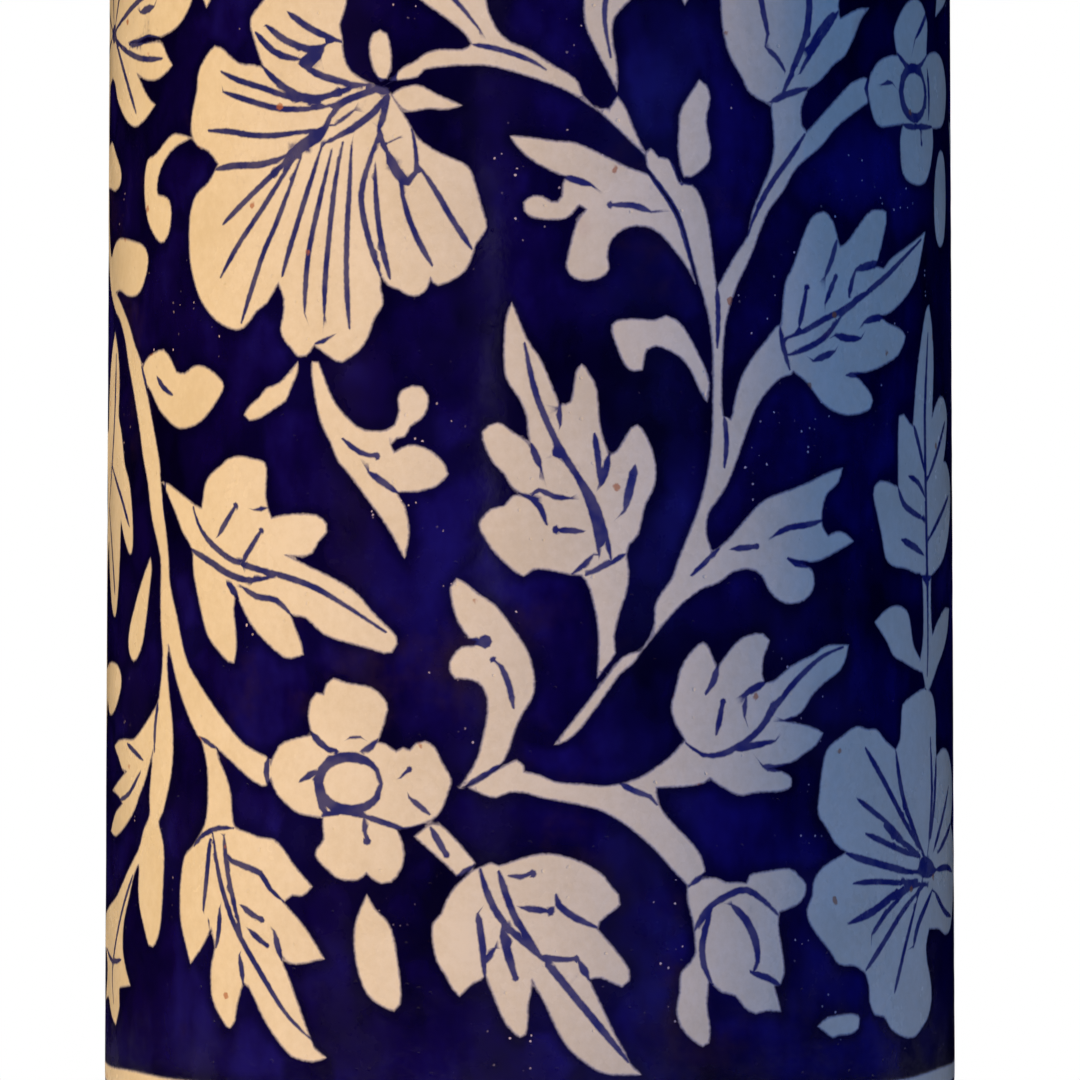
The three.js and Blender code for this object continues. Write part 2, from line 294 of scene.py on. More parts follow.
         (86, 103.5), (84, 101.8), (80.5, 99.5), (78.6, 102.6, 0), (75, 103.3), (71, 104.5), (68, 105.5),
         (66, 107.8), (62.6, 110.8, 0), (65, 112.3), (67.5, 113.2), (70.5, 113.2), (73, 112), (74, 109.5),
         (75, 106.8), (77.6, 104.6, 0), (78.8, 108), (79, 113), (78.4, 118.1), (76, 118.5), (72, 119.3),
         (68, 119.7), (65.8, 121), (64.7, 124.5), (63.4, 128)],
    ],
    "far right big flower": [
        [(55.4, 74.8, 0), (52.8, 76.2), (50.8, 78.8), (49, 81), (49.3, 84.5), (49.9, 88), (51, 91),
         (54, 92.8), (57.7, 94.4), (60.5, 93.9), (63, 93.8), (65.5, 92), (68.6, 90.4, 0), (70, 92),
         (70.5, 95), (71, 97.5), (74, 98.8), (79, 99.9), (83, 98.8), (84.7, 95.5), (84.8, 91.5),
         (85, 88.8, 0), (89, 90), (94, 89), (98, 85.5), (98.3, 81), (96, 77.5, 0), (99.5, 75),
         (100.5, 70), (98.5, 64), (95, 60.5), (90.5, 59.8), (86, 61), (81, 61.3, 0), (79.6, 59),
         (79.8, 56.5), (81.5, 53), (81.9, 50), (80.3, 47.3), (77, 45.4), (74, 44.4), (70, 45),
         (66.8, 46.4), (64.8, 48.4), (62.3, 48.8), (60.9, 51), (60.8, 53.5), (59.7, 55.7, 0), (57, 56.9),
         (53.5, 57.3), (51.3, 59.6), (48.8, 62), (47, 64.3), (46.6, 66.2), (47.7, 68.2), (47.9, 70.3),
         (50, 72.6)],
        [(48.8, 47.8, 0), (51, 49), (56.5, 49.3), (58.3, 48.5), (58, 47), (56, 46.2), (53.5, 46.2),
         (52, 45.9)],
    ],
    "bud flower": [
        [(25.2, 70.9), (27.4, 71.5), (29.6, 71.6), (31.3, 70.8), (33.5, 70.8), (35, 70.6, 0),
         (35.6, 71.8), (37.5, 72.2), (43, 72.6), (45, 71.3), (46.3, 70), (46, 68.3), (44.5, 67),
         (41.1, 66, 0), (40.8, 64), (41.8, 58.5), (41.9, 56.5), (41.2, 54.7, 0), (40, 54.6), (40.7, 52.5),
         (41.3, 50.5, 0), (38.5, 50.8), (36.5, 50.4), (34.5, 51.5), (33, 53.3), (30.5, 54),
         (28.3, 55.9, 0), (28, 52), (28.5, 48.5), (28.3, 46.2), (27.3, 45.7), (25.5, 46.8), (23.7, 48.8),
         (23, 51.3), (23.5, 54), (23.7, 57), (25.3, 58.6), (26.2, 60.2, 0), (25.8, 64.5), (24.8, 68.5)],
    ],
    "low stem with its branch to the right leaf": [
        [(-9.3, 85.8, 0), (-4.5, 88.8), (-2, 90), (-1, 89.2), (-0.9, 88.2, 0), (1.5, 87.7), (4, 86.6),
         (8, 86.3), (12, 86), (17, 87.2), (22, 90.4), (24.4, 92.8), (27, 93.5), (31, 90), (28.5, 87),
         (26, 86), (19.7, 85.7, 0), (19.9, 84), (21, 81.6), (25.8, 76.7), (27.3, 74.3), (27.7, 72.7),
         (27, 71.7), (25, 70.5, 0), (22.8, 72.6), (19.5, 76.2), (15.5, 79.6), (12, 81.8), (9, 82.9),
         (2, 84.3), (-1, 85.1), (-3.3, 85.1), (-5.2, 84.3), (-7, 84.7)],
        [(24.6, 92.8), (23, 95.3), (22.2, 98), (23, 101), (23.8, 104), (25.3, 106.3), (27.5, 108),
         (28.7, 106.5), (29.8, 104, 0), (33, 107.6), (35.3, 109), (38, 109.2), (39.3, 108.2),
         (38.2, 105.8), (37.9, 103), (38.4, 101.6, 0), (40, 101.8), (42.5, 103.5), (45, 104.8),
         (48, 105.8), (51, 107.2), (55.9, 107.3, 0), (55.3, 105.5), (54, 103.5), (50, 101.3),
         (47.5, 99.3), (45.5, 97), (42.3, 95.6, 0), (47.5, 94.6), (50, 93.6, 0), (48.5, 91.8), (46, 90.5),
         (43.5, 89.2), (39, 88.3, 0), (41.5, 87.8), (43.5, 86.7), (43.4, 85.5), (41.5, 84.8), (37, 84.7),
         (34, 84.3), (32, 85), (28.4, 87.2), (26, 90)],
    ],
    "S-shaped leaf": [
        [(-11.3, 117.8), (-10, 117.2), (-8, 115.5), (-6, 114.3), (-4.5, 112.8), (-1, 107.8), (0.2, 105),
         (0.7, 102), (0.3, 99.5), (-1, 97.5), (-2.2, 95), (-3, 92.5), (-4, 90), (-6, 88.2),
         (-10.8, 85.7, 0), (-8, 90.5), (-6.5, 97.5), (-6.8, 100.3), (-8, 102), (-10, 102.5),
         (-11.5, 102.6), (-12.4, 104), (-12, 105.8), (-10.5, 107.3), (-8.6, 107.5), (-8.2, 108.3, 0),
         (-9.4, 108.8), (-10.3, 110), (-11.5, 112.3), (-12.3, 116.5)],
    ],
    "four-petalled flower": [
        [(-35.2, 93.6, 0), (-35.9, 96.5), (-35.4, 99), (-34.5, 100.1), (-33.2, 99.9, 0), (-32.7, 101.5),
         (-31.5, 102.4), (-29.3, 101.7), (-25, 101), (-22.5, 98.7), (-22.7, 96.3), (-24, 92.6, 0),
         (-22.7, 92.4), (-20.9, 91.2), (-19.8, 91.8), (-18.7, 91.4), (-17.7, 92.5), (-16.2, 92.8),
         (-14.7, 91.8), (-13.6, 89.6), (-12.2, 87.1), (-12.6, 85.2), (-14.5, 81.3), (-19, 79.5),
         (-21, 79.4, 0), (-20.2, 78), (-19.6, 75.5), (-20.2, 73), (-21.7, 71.2), (-23.3, 70.9),
         (-24.8, 71.6), (-25.8, 72.5, 0), (-27.2, 71.4), (-30.2, 71.4), (-32, 72.5), (-34.6, 75),
         (-33.1, 77.5), (-33.3, 79.5), (-33.2, 80.8, 0), (-37.5, 81.4), (-39.5, 82.5), (-41.7, 84.3),
         (-42.8, 86.3), (-43.1, 88.5), (-42, 90.8), (-40.3, 92.4)],
        [(-17.9, 78.2, 0), (-15.3, 80.1), (-13.9, 80), (-11.5, 77.8), (-9.5, 75.5), (-8.5, 74.3),
         (-9.6, 73), (-11.2, 72.2, 0), (-13, 74)],
    ],
    "bottom leaf": [
        [(-8.8, 73, 0), (-11.5, 70.5), (-12.8, 68.5), (-13.7, 66.3), (-15, 64.8), (-15, 62), (-14.3, 59),
         (-13, 57), (-12, 55), (-10.8, 53.8, 0), (-8.7, 55.8), (-7.6, 56.3), (-6.8, 57, 0), (-4.3, 50.8),
         (-3, 48.8), (-1.5, 47.5), (-0.7, 48), (-0.3, 50), (-0.3, 52.5), (0.2, 54.5), (0.3, 56.4, 0),
         (2.5, 52.3), (4, 49), (6, 45.8), (9, 43.2), (12, 41.8), (17.2, 41.6, 0), (15.5, 43.3),
         (14.7, 45), (13, 48), (9, 56.4, 0), (11, 56.6), (14.2, 55.2), (15.3, 56), (15.3, 57.7),
         (13.8, 60), (10.4, 64, 0), (10.7, 65.2), (13.9, 67.8), (13.7, 69.3), (12.7, 70.3), (11.5, 72),
         (9, 73.8), (6, 75), (3, 75.6), (0, 75.3), (-4.7, 73.8), (-6, 74.2)],
        [(-25.7, 69.1, 0), (-27.5, 65), (-27.8, 61.5), (-27.3, 58), (-26.3, 55), (-24.8, 53),
         (-22.5, 51.7), (-21.2, 51.3), (-20.3, 52.3), (-20.2, 55.5), (-21.3, 62.5), (-22.5, 65.2),
         (-24.3, 66.8)],
    ],
    "leaf low left with its stalk": [
        [(-58.4, 93, 0), (-57.3, 90), (-56.6, 86.5), (-57, 79.8), (-60, 75.8), (-62.3, 74), (-63.3, 71),
         (-63.7, 67), (-63.3, 63), (-60.8, 57, 0), (-57.7, 60), (-55.7, 62.9, 0), (-54.8, 59.7),
         (-55.5, 57.5), (-55.7, 54.5), (-55.2, 51.5), (-52.8, 48.3), (-51.3, 47.4), (-50.3, 48.5),
         (-49.8, 51), (-48.6, 54.6, 0), (-47.5, 54.2), (-46.3, 52.5), (-43.7, 48.5), (-40, 44.5),
         (-38, 43.4), (-35, 43), (-32.6, 43.7, 0), (-34.5, 45), (-35.5, 46.7), (-39.3, 55.5),
         (-40.4, 57.6), (-41.1, 59.6, 0), (-39.8, 58.4), (-38, 58), (-33, 59, 0), (-36.5, 63.7),
         (-40.5, 67.5, 0), (-38.8, 68.7), (-37, 68.6), (-35.2, 70.1, 0), (-38.7, 73.5), (-40.3, 75.5),
         (-42.5, 77.2), (-45, 77.4), (-48, 78.2), (-50.4, 78.9), (-51, 81), (-51.3, 84), (-52.5, 87),
         (-54, 89.3), (-55.3, 92.5)],
    ],
    "five-lobed leaf": [
        [(-69.3, 133, 0), (-67, 132.5), (-60, 129.3), (-58.3, 128.8, 0), (-57.5, 132.5), (-56, 134.2),
         (-54, 135.3), (-52, 136.5), (-49.5, 136.9), (-46.5, 136.4), (-44.3, 135.8), (-44, 133.5),
         (-44.2, 131), (-43.7, 128.8), (-43, 127.2, 0), (-41, 127.6), (-38, 127.8), (-34.5, 127.6),
         (-32.8, 126.3), (-32.7, 125), (-34.3, 123.5), (-35.3, 121.8), (-37.5, 121.3), (-40.4, 121.5, 0),
         (-31.5, 117.8), (-27.5, 115.5), (-25, 112.8), (-22.5, 110.5), (-21, 109), (-20.8, 107.8),
         (-21.7, 106.5), (-23, 106.4), (-25, 107), (-32, 108.8), (-34.5, 110.2), (-36.3, 111.7),
         (-39.3, 112.2, 0), (-37.2, 107.5), (-36.9, 106), (-38.3, 105.6), (-40, 105.5), (-42, 106.5),
         (-46.7, 110.3), (-50.3, 115.4, 0), (-50.8, 113), (-50.3, 109.5), (-50.2, 106.8),
         (-50.7, 104.6, 0), (-52, 104.8), (-54.3, 106.5), (-56.5, 108.5), (-58, 111.5), (-60.3, 118.5),
         (-60.5, 121.5), (-61.5, 123.3), (-63.5, 125.3), (-65.5, 128.3)],
    ],
    "tendrils under the hibiscus": [
        [(-38, 151.4, 0), (-41.5, 148.2), (-44, 147.5), (-45.5, 146), (-47.5, 144.7), (-48.6, 143.3),
         (-47.5, 142.5), (-45, 143), (-42.5, 144.3), (-40.3, 145.5), (-39.3, 147.5), (-38.2, 149.6)],
        [(-35.3, 151.4), (-35.4, 149.5), (-34.5, 144.5), (-33.5, 141.5), (-32, 138.8), (-30.7, 136),
         (-28.8, 134), (-22.5, 126), (-19.6, 121, 0), (-18.9, 125), (-19.6, 129), (-20.8, 131.1),
         (-17.5, 131.3), (-14.5, 132.2), (-12.7, 134), (-13.3, 135.5), (-15.5, 137.5), (-18, 138.4),
         (-20, 138), (-21.3, 137.2), (-21.9, 138.5), (-20.9, 139.5), (-19.6, 139.7), (-18.7, 141.3),
         (-17, 142.5), (-16, 144), (-15.9, 146), (-16.8, 147.3), (-18.3, 147.5), (-20.2, 146.7),
         (-20.7, 145.5), (-20.5, 143.8), (-21.2, 141.5), (-22.5, 140.7), (-25, 140.6), (-27.5, 141.3),
         (-31.3, 145), (-33.7, 150), (-34.3, 151.4)],
    ],
    "left stem and its leaves": [
        [(-103, 198, 0), (-105.6, 190), (-105, 180), (-101.5, 171), (-97, 165), (-92, 161.2),
         (-88, 159.2), (-85, 156), (-83, 152), (-80.5, 147.5), (-78, 142), (-76.5, 137.5), (-74.5, 133),
         (-73, 127.5), (-70, 121), (-69.9, 115), (-69.7, 110), (-69.2, 107), (-69.2, 104), (-70, 99.8),
         (-71, 97.6), (-76, 93.8), (-80, 91.8), (-84, 91.7), (-88, 91.3), (-91, 90.3, 0), (-88, 88.6),
         (-86, 87), (-83.2, 86.5, 0), (-92.5, 83.1, 0), (-88, 82.4), (-85.4, 81.2, 0), (-90, 79.5),
         (-94, 76.4, 0), (-90, 75.8), (-85, 77.2), (-80, 80), (-77, 83.3), (-75, 85.5), (-72.2, 90.4, 0),
         (-73.4, 83), (-73.3, 80), (-75.5, 77.5), (-77.6, 74.2), (-82, 70.8), (-86, 67.8), (-90, 65.6),
         (-97, 63.6), (-101.5, 62), (-103.5, 57, 0), (-99.5, 56.6), (-97.5, 53.5), (-100, 48.5, 0),
         (-95.8, 49.2), (-92.4, 46.4), (-89.2, 45.2, 0), (-86.8, 48.5), (-87, 51.2), (-84, 51.8),
         (-81, 52.2, 0), (-83.5, 55), (-85, 58), (-84.5, 62), (-82, 66), (-79.5, 70), (-77.4, 71.8),
         (-77.6, 68), (-77, 65), (-75, 61.5), (-73.5, 59.2), (-72, 59), (-70.5, 60.5), (-69.3, 64),
         (-68.5, 73.5), (-69.3, 76.8), (-70.3, 79), (-68.9, 80.6), (-67, 85), (-66, 89), (-66, 94),
         (-67, 99), (-67.8, 104), (-67.3, 107.2, 0), (-64.5, 100.8), (-61.5, 96), (-58.6, 92.6),
         (-55, 91.5), (-46.5, 86.2), (-44, 85.6), (-43, 86.6), (-43.3, 89.6), (-46, 90.8), (-50, 93),
         (-59, 101.3), (-62.5, 105.5), (-65, 112), (-67, 117), (-67.6, 122), (-70, 133), (-70.7, 137),
         (-75, 147.5), (-77, 151.8), (-80, 155), (-83, 158.5), (-87, 161.6), (-91.5, 164.1, 0),
         (-88, 164.2), (-84, 163.2), (-80.5, 163), (-78, 163.6), (-76, 165.5), (-74.8, 168),
         (-75.2, 169.8), (-78, 171.3), (-88, 172.6), (-93, 171.6), (-96.5, 170), (-100, 175),
         (-102, 181.6, 0), (-97, 181.2), (-93, 180.6), (-89.5, 181), (-88, 182.3), (-88.5, 184),
         (-92, 186.5), (-96, 188.7), (-101, 188.6), (-101, 193), (-99.5, 198, 0)],
    ],
    "heart leaf": [
        [(-75.8, 149.2), (-76.6, 151.3), (-74.5, 153), (-72, 153.7), (-69.3, 154), (-67, 152.5),
         (-65.3, 150.4, 0), (-63, 150.1), (-61, 151), (-59, 151.3), (-56.5, 150.6), (-54.3, 149.3),
         (-53.2, 147.9), (-54.5, 146), (-57, 143.6), (-60, 142), (-64.5, 141.5), (-68, 143), (-71, 145),
         (-73.5, 147.6)],
        [(-73.4, 121, 0), (-76, 118), (-79, 114), (-82, 109.5), (-82.5, 106.5), (-81, 104.7),
         (-79, 104.6), (-76.5, 107), (-75, 111), (-74, 115), (-73, 119)],
    ],
    "comma tendril": [
        [(-61.2, 187.3, 0), (-64, 187.9), (-67, 188), (-72, 185.3), (-75, 184.5), (-76.2, 181.5),
         (-76, 178), (-74.8, 174.8), (-73, 172.8), (-71, 171.4), (-69.3, 171.2), (-67.6, 172.8),
         (-67, 175.5), (-67.6, 177.6), (-69.5, 178.5), (-71.3, 178.8), (-71.6, 180.5), (-70.5, 182.8),
         (-68, 185), (-65, 186.4)],
    ],
    "far left flower": [
        [(-84, 204, 0), (-79, 203.9), (-75, 204.3), (-71, 203.9), (-67, 204.6), (-64, 206),
         (-61.5, 208.8), (-60.6, 212), (-62, 215.5), (-66, 217.8), (-71, 218), (-77, 216.4, 0),
         (-79, 221), (-84, 225), (-90, 226.3), (-96, 224.4), (-99, 220.6), (-100, 217.4, 0),
         (-105, 219.8), (-110.5, 219), (-115, 215.5), (-116.5, 211), (-112, 206.6, 0), (-115.8, 203),
         (-115, 199.5), (-111, 197), (-106, 196.4), (-101, 197.8), (-95.6, 199.2, 0), (-93, 198),
         (-91, 195.5), (-88, 193.4), (-84, 191.2), (-80, 190.2), (-76, 191.2), (-72.3, 193.2, 0),
         (-75, 194.6), (-79.7, 198.7, 0), (-76, 197.5), (-72, 197.2), (-69, 198), (-66.8, 199.1, 0),
         (-68.7, 201), (-70.5, 203), (-76, 203.3)],
    ],
    "far left leaf with its stem": [
        [(-92, 157.6, 0), (-89.5, 154), (-88.5, 149), (-89, 144), (-87, 141), (-85, 136), (-82.5, 133),
         (-81, 128), (-80.7, 123), (-82, 121.5), (-84.5, 123.5), (-87.2, 127, 0), (-87.8, 121),
         (-89, 115), (-91, 111.4), (-94, 113), (-97, 119), (-98.6, 123.6), (-101.6, 118), (-102.6, 108),
         (-101.2, 103), (-97, 103.6), (-93, 103.9), (-88.5, 103.3), (-86.4, 101), (-88.5, 98),
         (-92, 95.8), (-96, 95.4), (-99.6, 97.4), (-102.6, 92), (-106, 80), (-107.2, 68), (-105, 57.5),
         (-102.3, 52.6, 0), (-105.6, 55.6), (-108.6, 63), (-109, 74), (-107.4, 86), (-104.6, 97),
         (-105.4, 108), (-104.4, 118), (-101, 127.5), (-101.4, 134), (-106, 137), (-108.6, 142, 0),
         (-103, 141.6), (-100, 142), (-98.6, 147), (-95.6, 153.4)],
    ],
    "small leaves between the two paintings": [
        [(-109.6, 86, 0), (-113, 90), (-115.6, 97), (-116.6, 104, 0), (-112.6, 101.4), (-110, 96),
         (-108.6, 90.6)],
        [(-105.8, 113, 0), (-109.6, 116), (-113.6, 121), (-116.6, 128, 0), (-111.4, 126.4),
         (-107.6, 121.6), (-105, 117)],
        [(-106.6, 150, 0), (-111.4, 153.6), (-114.6, 160), (-115.6, 168, 0), (-111, 164.4),
         (-107.8, 158.4), (-105.6, 153.6)],
        [(-111, 178, 0), (-115.6, 181.6), (-119.6, 187.6), (-121.6, 192.6, 0), (-116.4, 190),
         (-112.4, 185.6), (-109.6, 181.4)],
        [(-112, 47.6, 0), (-116, 51), (-118.6, 57), (-117.6, 63.4, 0), (-114, 60.4), (-111.4, 55.4)],
    ],
    "sprigs under the upper band": [
        [(-57.6, 207.6, 0), (-60, 213), (-57.6, 219.6), (-54, 226, 0), (-52.6, 219.6), (-53.6, 213)],
        [(24.6, 206.4, 0), (21.8, 212), (22.2, 219), (26, 225.6, 0), (28.4, 219), (27.6, 212)],
        [(64.6, 209.6, 0), (61, 214.6), (59.4, 220), (60.6, 226, 0), (65, 221.6), (67.6, 216)],
        [(86.4, 208.4, 0), (88.6, 215), (94, 220.6), (101, 225.6, 0), (99.6, 218.6), (95.4, 212.4)],
        [(-3, 207.4, 0), (-6, 213), (-4.6, 219.4), (0, 225.6, 0), (2.6, 219), (1, 212.6)],
    ],
}

# Brush lines over the cream: half width, points, and the radius of the blob that the stroke ends in.
brushLines = {
    "hibiscus": [
        (0.34, [(-54, 197.3), (-50, 195.7), (-45, 194.3), (-41, 193), (-33, 191)], 0),
        (0.34, [(-53.5, 194.1), (-44, 191.4), (-39, 190.7), (-34, 190.8), (-31.5, 191.3)], 0),
        (0.34, [(-57, 188.2), (-52, 187.8), (-47, 187), (-42, 186.8), (-34.6, 187.4)], 0),
        (0.4, [(-55.2, 182), (-51, 182.4), (-46, 182.3), (-42, 183), (-39, 184)], 0),
        (0.34, [(-53.5, 173.3), (-36, 185.6)], 0),
        (0.34, [(-54, 165), (-50, 170), (-45, 175.5), (-38, 184)], 0),
        (0.34, [(-49.3, 157.8), (-45, 168), (-42, 173.5), (-37.6, 183)], 0),
        (0.34, [(-41, 164.8), (-40, 168), (-33.8, 184.6)], 0),
        (0.34, [(-36.8, 159), (-36.5, 165), (-35.5, 171), (-32, 184)], 0),
        (0.34, [(-33.2, 158.5), (-33, 165), (-31.5, 178), (-30, 185.3)], 0),
        (0.34, [(-28.8, 156.5), (-29.3, 163), (-29.3, 170), (-28.5, 184.6)], 0),
        (0.36, [(-23.6, 164.6), (-25.5, 170), (-26.7, 175), (-26.5, 179), (-23.6, 187.4)], 0),
        (0.34, [(-22, 164), (-23.5, 170), (-24.3, 176), (-24.5, 181.5)], 0),
        (0.34, [(-15.2, 166), (-17.5, 170), (-19.5, 175), (-20.5, 180)], 0),
        (0.34, [(-9, 168.5), (-12, 173), (-15, 178), (-17.5, 181.5)], 0),
        (0.4, [(-40, 205.8), (-36.5, 203.5), (-33, 201.8), (-30.2, 200.8)], 0),
        (0.4, [(-44.3, 204), (-40.5, 201.5), (-36, 200), (-33, 200.6)], 0),
        (0.4, [(-46.5, 203), (-43, 200), (-40, 198.8), (-37.6, 198.4)], 0),
        (0.9, [(-37.6, 197.6), (-36, 198.2), (-33.6, 200.2)], 0),
        (0.4, [(-45, 197.6), (-42, 195), (-39, 193.3), (-35.4, 192.3), (-32, 192.6), (-28.5, 193.8),
         (-25.5, 194.1)], 0),
        (0.4, [(-37, 197.2), (-33.5, 195.6), (-29.5, 194.5), (-26, 194)], 0),
        (0.42, [(-23.5, 193.5), (-27.5, 192.4), (-31, 190.8), (-34, 186.5)], 0),
        (0.42, [(-22.4, 192.6), (-24.5, 190), (-28.5, 187.3), (-33, 185.3)], 0),
        (0.2, [(-28, 190.2), (-31.4, 188)], 0),
        (0.75, [(-40.5, 182.6), (-37.5, 184.8), (-34.5, 186.4), (-32.6, 188)], 0),
        (0.4, [(-22.2, 192.2), (-23.3, 188.6), (-23.6, 186), (-20.8, 180.4), (-19, 179), (-17.8, 180.5),
         (-17.9, 184), (-18.5, 187)], 0),
        (0.6, [(-22.6, 183.6), (-21, 180.6), (-19.2, 178.9), (-18, 180.4)], 0),
        (0.16, [(-22.4, 185), (-20.5, 185.8)], 0),
        (0.45, [(-25.9, 196.6), (-24.6, 195), (-23.4, 193.6), (-21.6, 194.6), (-21.2, 197.2)], 0),
        (0.3, [(-22, 193.4), (-20.4, 194.2), (-17.4, 194.3)], 0),
        (1.0, [(-24.2, 193.6), (-23.2, 193.7), (-22.4, 192.8)], 0),
    ],
    "stalk": [
        (0.3, [(-22, 219), (-17, 212.5), (-11.2, 206.3), (-7.8, 202.2)], 0),
        (0.3, [(-8.8, 199.9), (-5, 199.2), (0, 197.5), (2.5, 196)], 0),
        (0.3, [(14.6, 220), (13, 212), (11.6, 205), (12.6, 198)], 0),
    ],
    "main stem": [
        (0.36, [(18.2, 181), (22.5, 175.3), (24.2, 171.5), (26.6, 163.4)], 0),
        (0.4, [(22.2, 182.8), (23.4, 180.6), (24, 178.6)], 0),
        (0.3, [(24, 178.8), (25.4, 178.9), (26.8, 180.2)], 0),
        (0.3, [(30, 162.6), (30.2, 158), (30, 153.5)], 0),
        (0.34, [(46.6, 187.2), (43.4, 183.2), (40.2, 179.6), (37.4, 175.4), (35.4, 171)], 0),
        (0.3, [(31.2, 143), (31.6, 139), (31.2, 135)], 0),
        (0.3, [(30.3, 122.5), (25.5, 118.3)], 0),
        (0.26, [(13.2, 105.4), (11.5, 103.6), (9.8, 101)], 0),
    ],
    "curled leaf": [
        (0.4, [(5, 179.7), (9.6, 178.3)], 0),
        (0.36, [(19, 174.3), (16, 175.3), (12.6, 175.3)], 0.6),
    ],
    "middle leaf": [
        (0.36, [(-0.8, 154), (1, 146), (4.3, 138.5), (6.5, 135), (8.3, 131.5), (9.7, 127), (10.7, 121.5)], 0),
        (0.36, [(4.5, 137.4), (9.5, 130.5), (11, 127), (12.2, 123), (12.6, 120.5)], 0),
        (0.5, [(9.2, 130.6), (11.2, 123)], 0),
        (0.8, [(4.1, 138.4), (4.4, 137.3), (5.2, 136.6)], 0),
        (0.4, [(0.2, 138.5), (1.7, 134.8)], 0),
        (0.36, [(-1.6, 131), (0.3, 130.2), (1.5, 129), (2.6, 126.2)], 0),
        (0.3, [(6.3, 130.2), (3.6, 130.5), (1.4, 131.5), (0.3, 130.4)], 0),
        (0.34, [(8.3, 125.1), (4.1, 125.4)], 0.65),
        (0.36, [(10, 140.2), (10.6, 136), (10.8, 132.5)], 0),
        (0.4, [(12.3, 137), (11.3, 132.5)], 0),
        (0.5, [(16.4, 135.2), (14.7, 128.3)], 0),
        (0.34, [(4.7, 145), (4.5, 143), (4.7, 141.5)], 0),
        (0.26, [(9.8, 121.5), (8, 119.7), (6.5, 118.6)], 0),
        (0.34, [(14.8, 121.6), (8.6, 118.4)], 0),
    ],
    "leaf right of the stem, low": [
        (0.36, [(40.3, 124.5), (43, 125.7), (46.5, 126.1), (50.2, 126.9)], 0),
        (0.44, [(42.8, 121), (44.5, 120.2), (48, 119.8)], 0),
        (0.34, [(32.5, 122.4), (37, 122.8)], 0.45),
    ],
    "tulip": [
        (0.38, [(37.4, 211.6), (38.4, 206), (39.3, 202.4), (38.8, 200.4)], 0),
        (0.3, [(38.8, 200.4), (41, 198.8), (42.6, 196.8)], 0),
        (0.5, [(47.6, 211), (47.4, 205), (46, 200.5), (42, 193)], 0),
        (0.36, [(54, 206.8), (48, 200), (45.6, 196.6)], 0),
        (0.3, [(52.6, 206.4), (49.6, 203.4), (47, 200)], 0),
        (0.4, [(39.6, 191.8), (43, 193.2), (47.2, 194.4)], 0),
        (0.4, [(61.4, 197), (60.9, 195), (61.4, 193)], 0),
    ],
    "far right round flower": [
        (0.36, [(70, 201.2), (74, 199.2), (78, 199.6), (81.4, 201.6)], 0),
        (0.36, [(72, 190), (75, 189.8), (84, 190.4)], 0),
        (0.36, [(82, 199), (82.6, 195), (82.4, 191.6)], 0),
        (0.3, [(65.6, 196), (67, 196.4), (68.4, 196.4)], 0),
        (0.3, [(78.6, 189.4), (79, 187.4)], 0.4),
        (0.34, [(82, 209), (79, 206), (76.5, 204)], 0),
    ],
    "leaf right of the stem, high": [
        (0.36, [(42, 155), (46, 156.3), (51, 158.5), (55, 160), (66, 165.5), (72, 168.8), (78.6, 172)], 0),
        (0.36, [(43.5, 152.7), (47.5, 154), (51, 155.8), (54.5, 159)], 0),
        (0.5, [(54, 159.4), (60.6, 162.8)], 0),
        (0.34, [(45.3, 157), (46.9, 163.2)], 0.6),
        (0.36, [(53.5, 170.8), (52.3, 167.8), (50.8, 165)], 0),
        (0.34, [(50.8, 160.8), (53.2, 165.1)], 0.5),
        (0.5, [(64, 167.6), (58, 166.4)], 0),
        (0.34, [(58, 166.4), (57, 164.4), (56.3, 162)], 0),
        (0.44, [(65.6, 159.1), (62.5, 158.8), (60, 158.1)], 0),
        (0.44, [(53, 155.9), (56, 155.5), (59.3, 155.6)], 0),
        (0.4, [(48.3, 151.8), (53, 153.4)], 0),
        (0.36, [(41.5, 157), (42.2, 153.6), (43.4, 150.4)], 0),
        (0.34, [(61, 149.6), (58, 149.8), (55.6, 149.7)], 0),
    ],
    "far right tall leaf": [
        (0.4, [(69.8, 132), (71.5, 129.6), (75, 128.2), (80, 127)], 0),
        (0.44, [(71, 123.8), (75, 122.8), (79, 121.5)], 0),
        (0.4, [(81.6, 157), (80.4, 148), (80, 140), (81, 111), (80.6, 102)], 0),
        (0.34, [(73.4, 134), (77, 133), (80, 130.6)], 0),
        (0.4, [(75.4, 142), (77.6, 138.6), (79.8, 134.6)], 0),
        (0.36, [(92, 143), (81, 133.4)], 0),
        (0.36, [(95, 131), (88, 127.6), (81, 123.6)], 0),
        (0.4, [(78.4, 118), (80.6, 117.4), (82.8, 118)], 0),
    ],
    "far right big flower": [
        (0.44, [(55.2, 74.6), (60, 73.3), (72, 71), (77, 70.8)], 0),
        (0.36, [(60, 77.5), (70, 74.5), (77, 73)], 0),
        (0.36, [(65, 78.5), (70, 76), (77, 73.4)], 0),
        (0.34, [(58, 83), (70, 76.8)], 0),
        (0.4, [(60, 91), (71, 79.4), (77, 74.3)], 0),
        (0.44, [(68.7, 90.2), (70, 85.2), (72, 81), (76, 76), (79, 73)], 0),
        (0.34, [(57, 69.8), (63, 69.8), (70, 69.3), (76, 69.5)], 0),
        (0.5, [(56, 63.6), (62, 65.2), (68, 67.4), (75, 68.6), (80, 68.4)], 0),
        (0.38, [(60, 56), (69, 63.5), (74, 66.5), (78, 68)], 0),
        (0.34, [(61.5, 61.5), (66, 65), (71, 67.4)], 0),
        (0.34, [(68, 52), (72, 60), (76, 66.5)], 0),
        (0.44, [(74.5, 59), (76.5, 62.5), (82.5, 67.4)], 0),
        (0.38, [(81, 75), (82.6, 83), (82, 92)], 0),
